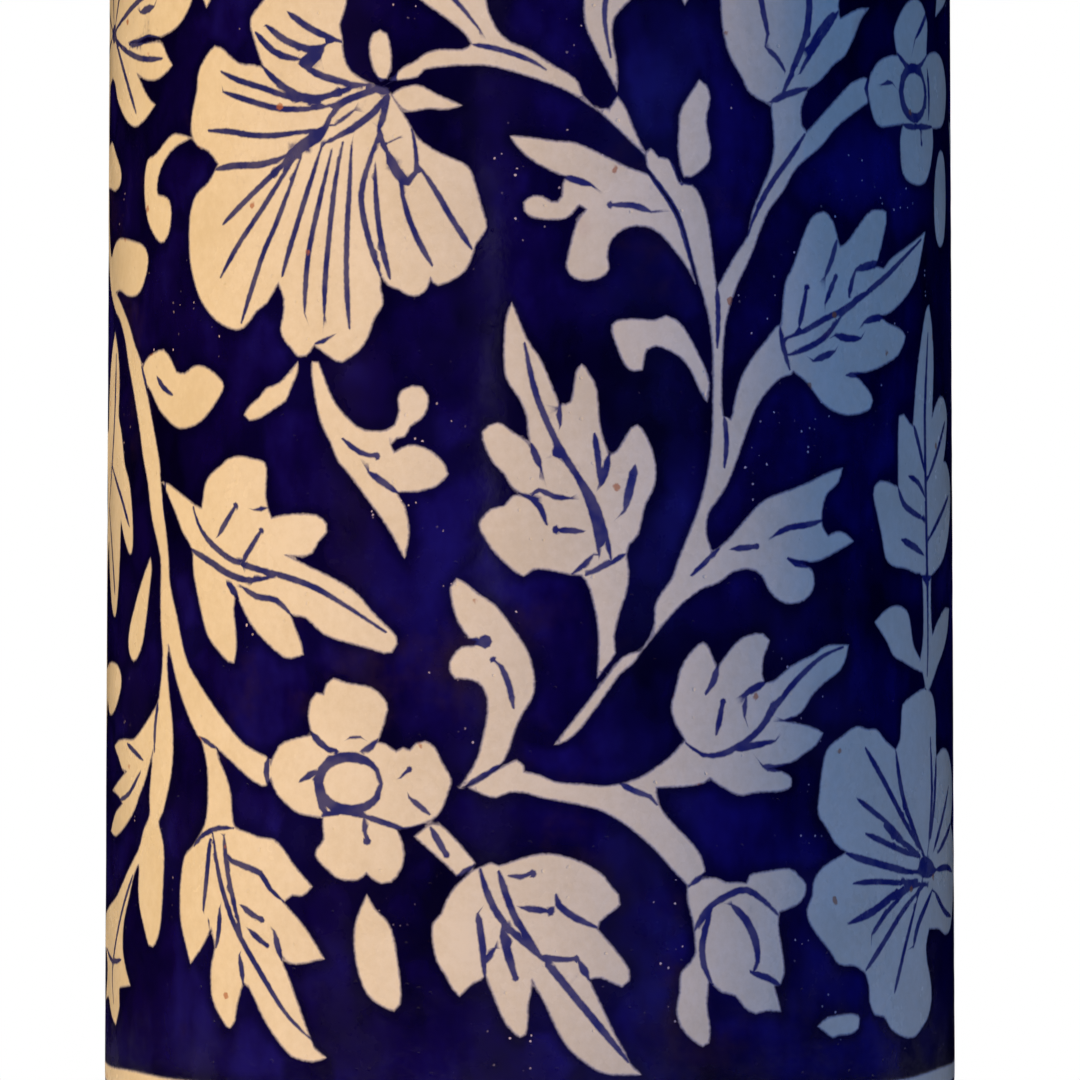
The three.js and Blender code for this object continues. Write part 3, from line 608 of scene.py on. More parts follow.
        (0.38, [(83.6, 74), (94, 83.6)], 0),
        (0.38, [(85, 70.6), (92, 70.6), (98, 69.6)], 0),
        (0.4, [(84, 67), (90, 63.6), (96, 62.4)], 0),
        (0.4, [(96, 77.4), (86, 73.4)], 0),
        (0.4, [(85, 88.6), (84, 82), (82, 76)], 0),
        (1.3, [(77, 71.4), (80, 71.2), (83.6, 70.6)], 0),
    ],
    "bud flower": [
        (0.36, [(25, 70.4), (27.8, 72.3)], 0),
        (0.4, [(26, 63.6), (27.2, 65.6), (29, 67.4), (32, 69), (35, 69.6), (38, 67.9), (40.9, 65.5)], 0),
        (0.4, [(28.8, 66.8), (27.7, 63.5), (27.2, 60.5), (27.7, 57.6), (29, 55.2)], 0),
        (0.5, [(32.3, 67.4), (34.8, 65), (36.6, 61.6), (37, 58.4), (36.2, 56.8)], 0),
        (0.4, [(35.6, 56.9), (38.6, 55.9), (41.3, 54.5)], 0),
    ],
    "leaf on the low stem": [
        (0.34, [(14, 86.4), (16, 85.3), (18.7, 84.3), (19.9, 83)], 0),
        (0.38, [(24.6, 92.5), (27.5, 90.6), (31, 90.8), (35, 92.6), (38, 95), (40.5, 98), (43.5, 101),
         (47, 103.8), (50.5, 105.8), (54.6, 107)], 0),
        (0.36, [(33, 91.3), (40.4, 92.6)], 0),
        (0.5, [(38.6, 96.4), (40, 98), (41.6, 99.4)], 0),
        (0.44, [(38.6, 101.8), (34.4, 99.8)], 0),
        (0.34, [(35, 99.6), (34.7, 98), (34.7, 96.4)], 0),
        (0.4, [(30, 104.4), (29.2, 101.8), (27.9, 100)], 0),
        (0.34, [(29.7, 93.7), (30.9, 98.8)], 0.5),
        (0.44, [(38, 88.7), (40.4, 88.3), (43.6, 88.8)], 0),
        (0.3, [(42, 95.7), (45, 96)], 0),
        (0.34, [(-9.8, 86), (-4.4, 89.3)], 0),
    ],
    "S-shaped leaf": [
        (0.5, [(-9.8, 108.2), (-6.9, 108.2)], 1.05),
        (0.34, [(-2.5, 98), (-3.2, 101.5), (-4.4, 104.3), (-5.6, 105.4)], 0.55),
    ],
    "four-petalled flower": [
        (0.4, [(-35.4, 94), (-33.8, 92.4), (-32.3, 91.4), (-30.9, 91.3)], 0),
        (0.4, [(-26.6, 91.3), (-25, 92), (-23.9, 93)], 0),
        (0.36, [(-34.2, 83.6), (-32.6, 81.4), (-30.6, 81.4)], 0),
        (0.34, [(-33.4, 81), (-31, 81.7), (-28, 81.6), (-22, 80), (-19.5, 79.3), (-16.4, 80.1)], 0),
        (0.3, [(-26.2, 81), (-26.1, 79), (-25.7, 77.4)], 0.65),
        (0.4, [(-37.4, 86.4), (-35.8, 87.3), (-34.1, 87.9)], 0),
        (0.36, [(-28.6, 93.3), (-26.8, 93.4)], 0),
        (0.3, [(-20.2, 87.2), (-18.8, 88.5)], 0.45),
        (0.3, [(-18.8, 84.2), (-15.5, 81.6)], 0),
        (0.4, [(-43.4, 90), (-43.9, 87.6), (-43.2, 85.2)], 0),
        (0.4, [(-15.4, 79.6), (-12.9, 75.4)], 0.5),
        (0.4, [(-11.4, 71.8), (-8.6, 73.9)], 0),
    ],
    "bottom leaf": [
        (0.4, [(-7.6, 73.3), (-6.7, 70), (-5.3, 67), (-3, 64), (3, 58.6)], 0),
        (0.4, [(-4.8, 73), (-2.3, 66), (1.6, 60.2)], 0),
        (0.44, [(1.4, 60.4), (15.2, 43.6)], 0),
        (0.3, [(-3.3, 72.3), (-1.5, 72.1), (0.4, 72.6)], 0.6),
        (0.36, [(-1.3, 67.4), (3, 66.8)], 0.7),
        (0.4, [(4, 69.4), (4.4, 67.8), (7, 65.8), (10.4, 64.3)], 0),
        (0.34, [(1.5, 60), (4, 59.5), (7.2, 59.4)], 0.7),
        (0.5, [(7.4, 59.4), (9.2, 56.2)], 0),
        (0.4, [(-8, 66.5), (-7.2, 61), (-6.9, 56.6)], 0),
        (0.5, [(-4.2, 64.3), (-3.6, 61.2), (-2.2, 56.6)], 0.5),
        (0.3, [(-5.3, 61.2), (-6.8, 58.8)], 0),
    ],
    "leaf low left": [
        (0.36, [(-55.3, 77.4), (-54, 71.5), (-52, 66.5), (-49.7, 62.5), (-43.7, 54.8), (-40.5, 50.8),
         (-37, 47.7), (-35, 46.3)], 0),
        (0.36, [(-52.8, 77.4), (-51.9, 71.5), (-49, 62.6)], 0),
        (0.36, [(-56, 76.8), (-57.6, 65.5)], 0),
        (0.36, [(-52.3, 73.9), (-49, 73), (-45, 71.8), (-43, 69.4), (-40.4, 67.6)], 0),
        (0.36, [(-49, 66.7), (-46.5, 65.3), (-44.7, 64.6)], 0.5),
        (0.36, [(-47.3, 63), (-45, 61.4), (-43.6, 60.7)], 0.4),
        (0.4, [(-42.3, 63), (-40.8, 58.5)], 0),
        (0.36, [(-53.7, 66), (-53.9, 62.5), (-54.6, 59.8)], 0),
        (0.36, [(-56.3, 64), (-56, 62)], 0),
        (0.36, [(-49.3, 59), (-48.4, 54.4)], 0),
        (0.3, [(-60, 75.6), (-57.5, 77.5), (-54, 78.6), (-50.6, 78.7)], 0),
    ],
    "five-lobed leaf": [
        (0.36, [(-60.5, 129), (-59.3, 126.5), (-57, 124), (-53, 121.5), (-49, 120), (-40, 118),
         (-35, 116.5), (-30, 114), (-22.6, 109.6)], 0),
        (0.4, [(-61.2, 122.4), (-56, 120.3), (-52.5, 118.7), (-48.5, 117.6), (-45, 117.7), (-42, 118.4)], 0),
        (0.34, [(-49.3, 120), (-45.1, 125.2)], 0.55),
        (0.34, [(-54.3, 124.5), (-50.5, 129.1)], 0.6),
        (0.36, [(-48.8, 116.4), (-46, 115), (-42, 114.4), (-39, 112)], 0),
        (0.5, [(-52.3, 117), (-50.9, 115.9), (-49.8, 114.6)], 0),
        (0.26, [(-46.5, 128.5), (-43.6, 128.8)], 0),
    ],
    "tendrils and the heart leaf": [
        (0.3, [(-30, 139.5), (-27, 137.3), (-24.2, 136.7)], 0.6),
        (0.4, [(-25.5, 134.3), (-20.6, 131)], 0),
        (0.26, [(-34.9, 154.2), (-33.4, 154.6), (-31.8, 155.4)], 0),
        (0.36, [(-71.3, 149.7), (-69.2, 148), (-66.4, 146.8)], 0),
        (0.3, [(-77.2, 151.6), (-75.8, 149.4), (-74.8, 147)], 0),
    ],
    "left stem and its leaves": [
        (0.34, [(-68.4, 133.6), (-69, 130), (-68.2, 126.4)], 0),
        (0.3, [(-70.6, 98), (-71.6, 94), (-71.8, 90)], 0),
        (0.3, [(-83, 91), (-76, 88.6)], 0),
        (0.3, [(-87, 81.8), (-82, 83), (-77, 86.6)], 0),
        (0.3, [(-58.6, 92.8), (-54.4, 91)], 0),
        (0.3, [(-80, 70), (-87, 62), (-92, 54), (-91, 48.6)], 0),
        (0.3, [(-86, 56), (-92, 55.4), (-99, 57)], 0),
        (0.36, [(-91, 154), (-92, 145), (-94.6, 136), (-99, 127)], 0),
        (0.34, [(-82.4, 126), (-87.4, 131), (-94.6, 136)], 0),
        (0.34, [(-91.4, 115), (-94, 122), (-97.6, 129)], 0),
    ],
    "far left flower": [
        (0.5, [(-83.6, 203.7), (-79, 203.6), (-75, 204), (-71, 203.7)], 0),
        (0.46, [(-78.2, 208.4), (-73, 208.9)], 0),
        (0.36, [(-70, 200.4), (-78, 201), (-88, 203.6), (-94, 206)], 0),
        (0.36, [(-80, 192.4), (-84, 197), (-89, 202), (-94, 206)], 0),
        (0.36, [(-66, 212), (-76, 211), (-86, 208.4), (-94, 206.4)], 0),
        (0.36, [(-84, 222), (-88, 214.6), (-93, 207.6)], 0),
        (0.36, [(-96, 222), (-95.6, 214), (-94.6, 208)], 0),
        (0.36, [(-112, 215), (-97, 207.4)], 0),
        (0.36, [(-112, 200.6), (-105, 203.4), (-97, 205.6)], 0),
        (1.2, [(-96, 206.4), (-92.8, 205.8)], 0),
    ],
}


painting = {
    "sampleStep": 1.1,  # millimetres between points along an outline
    "brushStep": 1.5,
    "brushWeight": 1.3,
    "edgeBand": 0.45,  # where points are set on each side of an outline
    "fillStep": 4.2,
    "columns": 240,  # points round each end of a coat
    "innerRows": 12,
    "farValue": 3.0,
}


def smoothLine(points, closed, step):
    count = len(points)
    line = []
    for i in range(count if closed else count - 1):
        here, there = points[i], points[(i + 1) % count]
        before = points[i - 1] if closed or i > 0 else here
        after = points[(i + 2) % count] if closed or i + 2 < count else there
        if len(here) > 2:  # a sharp corner: the curve leaves it as if it came straight through
            before = (2 * here[0] - there[0], 2 * here[1] - there[1])
        if len(there) > 2:
            after = (2 * there[0] - here[0], 2 * there[1] - here[1])
        p0, p1, p2, p3 = (np.array(p[:2], float) for p in (before, here, there, after))
        pieces = max(1, round(float(np.hypot(*(p2 - p1))) / step))
        for k in range(pieces):
            t = k / pieces
            line.append(0.5 * (2 * p1 + (p2 - p0) * t + (2 * p0 - 5 * p1 + 4 * p2 - p3) * t * t
                               + (3 * p1 - p0 - 3 * p2 + p3) * t**3))
    if not closed:
        line.append(np.array(points[-1][:2], float))
    return np.array(line)


def beside(line, closed, distance):  # the line moved to its left
    ahead = np.roll(line, -1, 0) - line
    behind = line - np.roll(line, 1, 0)
    if not closed:
        ahead[-1], behind[0] = behind[-1], ahead[0]
    way = ahead / np.linalg.norm(ahead, axis=1)[:, None] + behind / np.linalg.norm(behind, axis=1)[:, None]
    way /= np.maximum(np.linalg.norm(way, axis=1), 1e-9)[:, None]
    return line + np.stack([-way[:, 1], way[:, 0]], 1) * distance


def insideOutline(points, outline):
    x, y = points[:, 0:1], points[:, 1:2]
    ax, ay = outline[:, 0], outline[:, 1]
    bx, by = np.roll(ax, -1), np.roll(ay, -1)
    crosses = (ay > y) != (by > y)
    with np.errstate(divide="ignore", invalid="ignore"):
        meets = ax + (y - ay) / (by - ay) * (bx - ax) > x
    return (crosses & meets).sum(1) % 2 == 1


def insideAny(points, outlines):
    found = np.zeros(len(points), int)
    for outline in outlines:
        low, high = outline.min(0), outline.max(0)
        near = np.flatnonzero(((points >= low) & (points <= high)).all(1))
        if len(near):
            found[near] += insideOutline(points[near], outline)
    return found


def nearestDistances(points, samples):
    tree = kdtree.KDTree(len(samples))
    for i, (x, y) in enumerate(samples):
        tree.insert((x, y, 0), i)
    tree.balance()
    found = [tree.find((x, y, 0)) for x, y in points]
    return np.array([f[2] for f in found]), np.array([f[1] for f in found])


def copiesRound(line, margin=8):  # the line, and its copies a whole turn away where they reach the seam
    middle = (line[:, 0].min() + line[:, 0].max()) / 2
    line = line - (around * round(middle / around), 0)
    shifts = [0]
    if line[:, 0].min() < -around / 2 + margin:
        shifts.append(around)
    if line[:, 0].max() > around / 2 - margin:
        shifts.append(-around)
    return [line + (shift, 0) for shift in shifts]


def layOut(outlines, strokes):
    # every outline and brush line, smoothed, with the copies that cross the seam
    reserveLines = []
    for points in outlines:
        reserveLines += copiesRound(smoothLine(points, True, painting["sampleStep"]))
    brush = []
    for halfWidth, points, blob in strokes:
        line = smoothLine(points, False, painting["brushStep"])
        for copy in copiesRound(line):
            brush.append((halfWidth, copy, blob))
    return reserveLines, brush


def strokeWidths(halfWidth, count, blob):
    # thin where the brush lands and lifts, fullest a third of the way
    t = np.linspace(0, 1, count)
    fullness = 0.3 + 0.7 * np.minimum(1, 6 * t) * np.minimum(1, 3 * (1 - t))
    widths = halfWidth * painting["brushWeight"] * fullness
    if blob:
        widths[-1] = blob
    return widths


def thinned(points, keepFrom, distance):
    # points that are clear of the fixed ones and of each other
    if len(keepFrom):
        away, _ = nearestDistances(points, keepFrom)
        points = points[away > distance]
    cells = {}
    for x, y in points:
        cells.setdefault((round(x / distance), round(y / distance)), (x, y))
    return np.array(list(cells.values()))


def flatMesh(low, high, reserveLines, brush):
    # triangles over the strip between two runs, with an edge along every outline and brush line
    half = around / 2
    columns = painting["columns"]
    corners, edges = [], []

    def chain(line, closed):
        first = len(corners)
        corners.extend(map(tuple, line))
        links = [(first + i, first + i + 1) for i in range(len(line) - 1)]
        if closed:
            links.append((first + len(line) - 1, first))
        edges.extend(links)

    arcs = np.linspace(-half, half, columns + 1)
    runs = np.linspace(low, high, max(2, round((high - low) / 2.5)) + 1)[1:-1]
    for run in (low, high):
        chain(np.stack([arcs, np.full(columns + 1, run)], 1), False)
    bottomLeft, bottomRight, topLeft, topRight = 0, columns, columns + 1, 2 * columns + 1
    for left, right, arc in ((bottomLeft, topLeft, -half), (bottomRight, topRight, half)):
        first = len(corners)
        corners.extend((arc, run) for run in runs)
        links = [left, *range(first, len(corners)), right]
        edges.extend(zip(links, links[1:]))
    for line in reserveLines:
        chain(line, True)
    for _, line, _ in brush:
        chain(line, False)
    fixed = np.array(corners)
    band = painting["edgeBand"]
    loose = [beside(line, True, side * band) for line in reserveLines for side in (1, -1)]
    for halfWidth, line, blob in brush:
        reach = max(0.6, halfWidth + 0.35)
        loose += [beside(line, False, side * reach) for side in (1, -1)]
        if blob:
            turns = np.arange(8) * math.pi / 4
            ring = np.stack([np.cos(turns), np.sin(turns)], 1)
            loose += [line[-1] + ring * blob * 0.6, line[-1] + ring * (blob + 0.5)]
    loose = thinned(np.concatenate(loose), fixed, 0.32) if loose else np.zeros((0, 2))
    step = painting["fillStep"]
    rows = np.arange(low + step / 2, high, step * 0.87)
    fill = [(arc + (k % 2) * step / 2, run) for k, run in enumerate(rows)
            for arc in np.arange(-half + step * 0.3, half, step)]
    settled = np.concatenate([fixed, loose])
    fill = thinned(np.array(fill), settled, step * 0.42)
    points = np.concatenate([settled, fill])
    inStrip = (np.abs(points[:, 0]) < half - 0.3) & (points[:, 1] > low + 0.3) & (points[:, 1] < high - 0.3)
    inStrip[:len(fixed)] = True
    points = points[inStrip]
    result = delaunay_2d_cdt([Vector(p) for p in points], edges, [], 0, 1e-5)
    flat = np.array([tuple(v) for v in result[0]])
    triangles = np.array([f for f in result[2] if len(f) == 3])
    middle = flat[triangles].mean(1)
    keep = (np.abs(middle[:, 0]) < half) & (middle[:, 1] > low) & (middle[:, 1] < high)
    triangles = triangles[keep]
    used, index = np.unique(triangles, return_inverse=True)
    return flat[used], index.reshape(-1, 3)


def paintValues(flat, reserveLines, brush):
    # how far each point is inside the cream, and inside a brush line, in millimetres
    far = painting["farValue"]
    fine = []
    for k, line in enumerate(reserveLines):
        dense = np.concatenate([line + (np.roll(line, -1, 0) - line) * t for t in (0, 0.25, 0.5, 0.75)])
        others = reserveLines[:k] + reserveLines[k + 1:]
        fine.append(dense[insideAny(dense, others) == 0])  # only the outside of outlines that cross
    if fine:
        away, _ = nearestDistances(flat, np.concatenate(fine))
        inside = insideAny(flat, reserveLines) > 0
        away = np.where(away < 0.02, 0.0, away)
        reserve = np.clip(np.where(inside, away, -away) + 0.04, -far, far)
    else:
        reserve = np.full(len(flat), -far)
    ink = np.full(len(flat), -far)
    if brush:
        places, widths = [], []
        for halfWidth, line, blob in brush:
            width = strokeWidths(halfWidth, len(line), blob)
            for t in (0, 0.25, 0.5, 0.75):
                places.append(line[:-1] * (1 - t) + line[1:] * t)
                bodyWidth = width.copy()  # the blob stands only on the last point
                if blob:
                    bodyWidth[-1] = halfWidth * 0.6
                widths.append(bodyWidth[:-1] * (1 - t) + bodyWidth[1:] * t)
            places.append(line[-1:])
            widths.append(width[-1:])
        places, widths = np.concatenate(places), np.concatenate(widths)
        away, which = nearestDistances(flat, places)
        ink = widths[which] - away
        big = np.flatnonzero(widths > 0.7)  # a wide dab covers points that are nearer to a thin line
        for i in big:
            near = np.hypot(*(flat - places[i]).T)
            ink = np.maximum(ink, widths[i] - near)
        ink = np.clip(ink, -far, far)
    return reserve, ink


def makeCoat(name, surface, low, high, outlines, strokes, thickness):
    # a thin closed shell whose outside carries the painting
    reserveLines, brush = layOut(outlines, strokes)
    flat, triangles = flatMesh(low, high, reserveLines, brush)
    reserve, ink = paintValues(flat, reserveLines, brush)
    half = around / 2
    columns = painting["columns"]

    # the seam's right side is the same vertices as its left side
    left, right = (side[np.argsort(flat[side, 1])] for side in
                   (np.flatnonzero(flat[:, 0] < 1e-4 - half), np.flatnonzero(flat[:, 0] > half - 1e-4)))
    twin = np.arange(len(flat))
    twin[right] = left
    owner, weld = np.unique(twin, return_inverse=True)
    outer, outerWays = surface.at(flat[owner, 0], flat[owner, 1])

    # the inside of the shell is plain rows of quads, and its ends close on the painted side's ends
    runs = np.linspace(low, high, painting["innerRows"] + 1)
    arcs = np.linspace(-half, half, columns + 1)[:-1]
    gridArc, gridRun = np.meshgrid(arcs, runs)
    inner, _ = surface.at(gridArc.ravel(), gridRun.ravel(), thickness)
    rows = (len(outer) + np.arange(len(inner))).reshape(len(runs), columns).tolist()
    ends = []
    for run in (low, high):
        end = np.flatnonzero((np.abs(flat[:, 1] - run) < 1e-4) & (flat[:, 0] < half - 1e-4))
        ends.append(weld[end[np.argsort(flat[end, 0])]].tolist())
    faces = [tuple(t) for t in weld[triangles].tolist()]
    outerCount = len(faces)
    for start, end in zip([ends[0], *rows], [*rows, ends[1]]):
        for c in range(columns):
            d = (c + 1) % columns
            faces.append((start[c], end[c], end[d], start[d]))
    mesh = bpy.data.meshes.new(name)
    mesh.from_pydata(np.concatenate([outer, inner]).tolist(), [], faces)

    # one map for the whole piece: the painted side fills it, the hidden side has a strip
    uv = mesh.uv_layers.new(name="OFBake")
    coords = np.zeros((len(mesh.loops), 2))
    painted = flat[triangles.ravel()]
    coords[:outerCount * 3, 0] = 0.005 + 0.99 * (painted[:, 0] + half) / around
    coords[:outerCount * 3, 1] = 0.08 + 0.915 * (painted[:, 1] - low) / (high - low)
    hidden = np.tile([(0, 0), (0, 1), (1, 1), (1, 0)], (len(faces) - outerCount, 1)).astype(float)
    place = np.arange(len(faces) - outerCount).repeat(4)
    coords[outerCount * 3:, 0] = 0.005 + 0.99 * ((place % columns) + hidden[:, 0]) / columns
    coords[outerCount * 3:, 1] = 0.005 + 0.06 * ((place // columns) + hidden[:, 1]) / (len(runs) + 2)
    uv.data.foreach_set("uv", coords.ravel())

    # the painted side is shaded as the true round surface
    mesh.polygons.foreach_set("use_smooth", np.ones(len(faces), bool))
    loopVertex = np.zeros(len(mesh.loops), int)
    mesh.loops.foreach_get("vertex_index", loopVertex)
    faceWays = np.zeros(len(faces) * 3)
    mesh.polygon_normals.foreach_get("vector", faceWays)
    loopCounts = np.array([len(f) for f in faces])
    ways = faceWays.reshape(-1, 3).repeat(loopCounts, 0)
    ways[:outerCount * 3] = outerWays[loopVertex[:outerCount * 3]]
    for attribute, values in (("reserve", reserve), ("ink", ink)):
        layer = mesh.attributes.new(attribute, "FLOAT", "POINT")
        layer.data.foreach_set("value", np.concatenate([values[owner], np.full(len(inner), -3.0)]))
    mesh.normals_split_custom_set(ways.tolist())
    coatPiece = bpy.data.objects.new(name, mesh)
    bpy.context.scene.collection.objects.link(coatPiece)
    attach(coatPiece, "root")
    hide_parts("outside_glaze")
    print(name, "-", len(mesh.vertices), "vertices,", len(mesh.polygons), "faces")
    return coatPiece


bands = {
    "ringWidth": 2.6, "ringWander": 0.22,
    "bodyCoatLow": 33.5, "bodyCoatHigh": 233,  # where one coat ends and the next starts
    "heelPetals": 16, "heelPetalLow": 4.5, "heelPetalHigh": 31.5,
    "shoulderPetals": 20, "shoulderPetalLow": 236.5, "shoulderPetalHigh": 261,
    "neckSprigs": 10, "neckSprigLow": 269, "neckSprigHigh": 294,
    "heelRing": 37, "shoulderRing": 229.5, "neckRing": 265, "rimRing": 299,
    "footRing": 1.5,
}


def ring(run, width, waves):
    # a brushed line right round the pot, a little uneven; it runs on past the seam
    arcs = np.arange(-around * 0.56, around * 0.56, 3.0)
    turn = arcs / arcRadius
    wander = bands["ringWander"]
    upper = run + width / 2 + wander * (np.sin(turn * waves) + 0.6 * np.sin(turn * (waves * 3 + 1) + 1))
    lower = run - width / 2
    lower = lower + wander * (np.sin(turn * (waves + 2) + 2) + 0.6 * np.sin(turn * (waves * 2 + 5)))
    top = list(zip(arcs, upper))
    bottom = list(zip(arcs[::-1], lower[::-1]))
    for edge in (top, bottom):  # sharp at both ends
        edge[0] += (0,)
        edge[-1] += (0,)
    return bottom + top


def petalRow(count, low, high, fullness, pointUp=True):
    # pointed petals side by side, each with a brushed vein
    outlines, strokes = [], []
    width = around / count
    tall = high - low
    for k in range(count):
        middle = -around / 2 + width * (k + 0.5)
        lean = 0.35 * math.sin(k * 2.4)  # by hand, so no two are quite alike
        shape = [(0.0, 1.0, 0), (0.16, 0.86), (0.36, 0.62), (fullness / 2, 0.36), (0.34, 0.1),
                 (0.12, 0.0), (-0.12, 0.0), (-0.34, 0.1), (-fullness / 2, 0.36), (-0.36, 0.62),
                 (-0.16, 0.86)]
        if not pointUp:
            shape = [(-x, 1 - y, *rest) for x, y, *rest in shape]
        outlines.append([(middle + (x + lean * 0.06 * y) * width, low + y * tall, *rest)
                         for x, y, *rest in shape])
        foot, tip = (0.08, 0.78) if pointUp else (0.92, 0.22)
        vein = [(middle + 0.01 * lean * width, low + foot * tall),
                (middle + 0.03 * lean * width, low + (foot + tip) / 2 * tall),
                (middle + 0.06 * lean * width, low + tip * tall)]
        strokes.append((0.42, vein, 0.6))
        for side in (1, -1):
            start, end = (0.12, 0.52) if pointUp else (0.88, 0.48)
            strokes.append((0.34, [(middle + side * 0.1 * width, low + start * tall),
                                   (middle + side * 0.2 * width, low + (start + end) / 2 * tall),
                                   (middle + side * 0.22 * width, low + end * tall)], 0))
    return outlines, strokes


def sprigRow(count, low, high):
    # small three-leaved sprigs, every second one upside down
    outlines, strokes = [], []
    width = around / count
    tall = high - low
    leaf = [(0, 0, 0), (0.2, 0.16), (0.26, 0.4), (0.12, 0.74),
            (0, 1, 0), (-0.12, 0.74), (-0.26, 0.4), (-0.2, 0.16)]
    stem = [(0.035, 0.02, 0), (0.05, 0.2), (0.03, 0.4, 0), (-0.03, 0.4, 0), (-0.02, 0.2), (-0.035, 0.02, 0)]
    for k in range(count):
        middle = -around / 2 + width * (k + 0.5)

        def placed(x, y, *rest):
            run = low + y if k % 2 else high - y
            return (middle + x * 1.3, run, *rest)

        for tilt, size, foot in ((0, 0.6, 0.38), (62, 0.46, 0.2), (-62, 0.46, 0.2)):
            turn = math.radians(tilt)
            points = []
            for x, y, *rest in leaf:
                along, across = y * size * tall, x * size * tall
                points.append(placed(across * math.cos(turn) + along * math.sin(turn),
                                     foot * tall - across * math.sin(turn) + along * math.cos(turn), *rest))
            outlines.append(points)
            vein = [along * size * tall for along in (0.16, 0.45, 0.8)]
            vein = [placed(a * math.sin(turn), foot * tall + a * math.cos(turn)) for a in vein]
            strokes.append((0.36, vein, 0))
        outlines.append([placed(x * tall * 1.6, y * tall, *rest) for x, y, *rest in stem])
    return outlines, strokes


def eyeRing(centre, reach, halfWidth):  # the brushed ring in the middle of a round flower
    turns = np.arange(15) * 2 * math.pi / 12
    line = [(centre[0] + reach[0] * math.cos(t), centre[1] + reach[1] * math.sin(t)) for t in turns]
    return halfWidth, line, 0


eyes = [eyeRing((-28.7, 86.2), (5.4, 4.1), 0.6), eyeRing((76, 195.3), (4.8, 4), 0.6)]


def roundTwice(points):  # the flowers are painted again on the far side
    return [[(p[0] + shift, *p[1:]) for p in points] for shift in (0, around / 2)]


bodyOutlines = [line for group in reserves.values() for points in group for line in roundTwice(points)]
bodyStrokes = [(halfWidth, line, blob) for group in [*brushLines.values(), eyes]
               for halfWidth, points, blob in group for line in roundTwice(points)]
bodyOutlines.append(ring(bands["heelRing"], bands["ringWidth"], 5))
bodyOutlines.append(ring(bands["shoulderRing"], bands["ringWidth"], 7))

heelOutlines, heelStrokes = petalRow(bands["heelPetals"], bands["heelPetalLow"], bands["heelPetalHigh"], 0.86)
heelOutlines.append(ring(bands["footRing"], bands["ringWidth"] * 0.7, 6))

topOutlines, topStrokes = petalRow(bands["shoulderPetals"], bands["shoulderPetalLow"],
                                   bands["shoulderPetalHigh"], 0.84, pointUp=False)
sprigOutlines, sprigStrokes = sprigRow(bands["neckSprigs"], bands["neckSprigLow"], bands["neckSprigHigh"])
topOutlines += sprigOutlines + [ring(bands["neckRing"], bands["ringWidth"] * 0.7, 6),
                                ring(bands["rimRing"], bands["ringWidth"] * 0.7, 4)]
topStrokes += sprigStrokes

coatFoot, coatTop = coat.run[0], coat.run[-1]
paintedHeel = makeCoat("painted_heel", coat, coatFoot, bands["bodyCoatLow"], heelOutlines, heelStrokes,
                       pot["glaze"])
paintedBody = makeCoat("painted_body", coat, bands["bodyCoatLow"], bands["bodyCoatHigh"], bodyOutlines,
                       bodyStrokes, pot["glaze"])
paintedNeck = makeCoat("painted_shoulder_and_neck", coat, bands["bodyCoatHigh"], coatTop, topOutlines,
                       topStrokes, pot["glaze"])

turning = {
    "segments": 192,
    "throwingRise": 4.6,  # millimetres between the finger ridges inside
    "throwingDepth": 0.16,
    "footBevel": 1.2, "footSteps": 6,
    "footRingWidth": 7,
    "footGrooves": 3, "footGrooveDepth": 0.25,
}


def makeTurned(name, profile, node):
    # a closed solid of revolution from a closed section, or from one that starts and ends on the axis
    segments = turning["segments"]
    turns = np.arange(segments) * 2 * math.pi / segments
    onAxis = [abs(r) < 1e-9 for r, _ in profile]
    vertices, rows = [], []
    for (radius, height), single in zip(profile, onAxis):
        if single:
            rows.append([len(vertices)] * segments)
            vertices.append((0, 0, height * mm))
        else:
            rows.append(list(range(len(vertices), len(vertices) + segments)))
            vertices += [(radius * math.sin(t) * mm, -radius * math.cos(t) * mm, height * mm)
                         for t in turns]
    faces = []
    closed = not onAxis[0]
    for k in range(len(rows) if closed else len(rows) - 1):
        low, high = rows[k], rows[(k + 1) % len(rows)]
        for c in range(segments):
            d = (c + 1) % segments
            corners = dict.fromkeys((low[c], low[d], high[d], high[c]))
            faces.append(tuple(corners))
    mesh = bpy.data.meshes.new(name)
    mesh.from_pydata(vertices, [], faces)
    mesh.polygons.foreach_set("use_smooth", np.ones(len(faces), bool))
    mesh.set_sharp_from_angle(angle=math.radians(38))
    uv = mesh.uv_layers.new(name="OFBake")
    rowCount = len(rows)
    lengths = np.concatenate(([0], np.cumsum([math.dist(profile[k], profile[(k + 1) % rowCount])
                                              for k in range(rowCount)])))
    lengths = 0.01 + 0.98 * lengths / lengths[-1]
    corner = 0
    for number, face in enumerate(faces):
        k, c = divmod(number, segments)
        place = {}
        for column, step in ((c, 0), ((c + 1) % segments, 1)):
            place.setdefault(rows[k][column], (column if not step else c + 1, lengths[k]))
            place.setdefault(rows[(k + 1) % rowCount][column], (c + step, lengths[k + 1]))
        for vertex in face:
            u, v = place[vertex]
            uv.data[corner].uv = (0.01 + 0.98 * u / segments, v)
            corner += 1
    piece = bpy.data.objects.new(name, mesh)
    bpy.context.scene.collection.objects.link(piece)
    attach(piece, "root")
    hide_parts(node)
    print(name, "-", len(mesh.vertices), "vertices,", len(faces), "faces")
    return piece


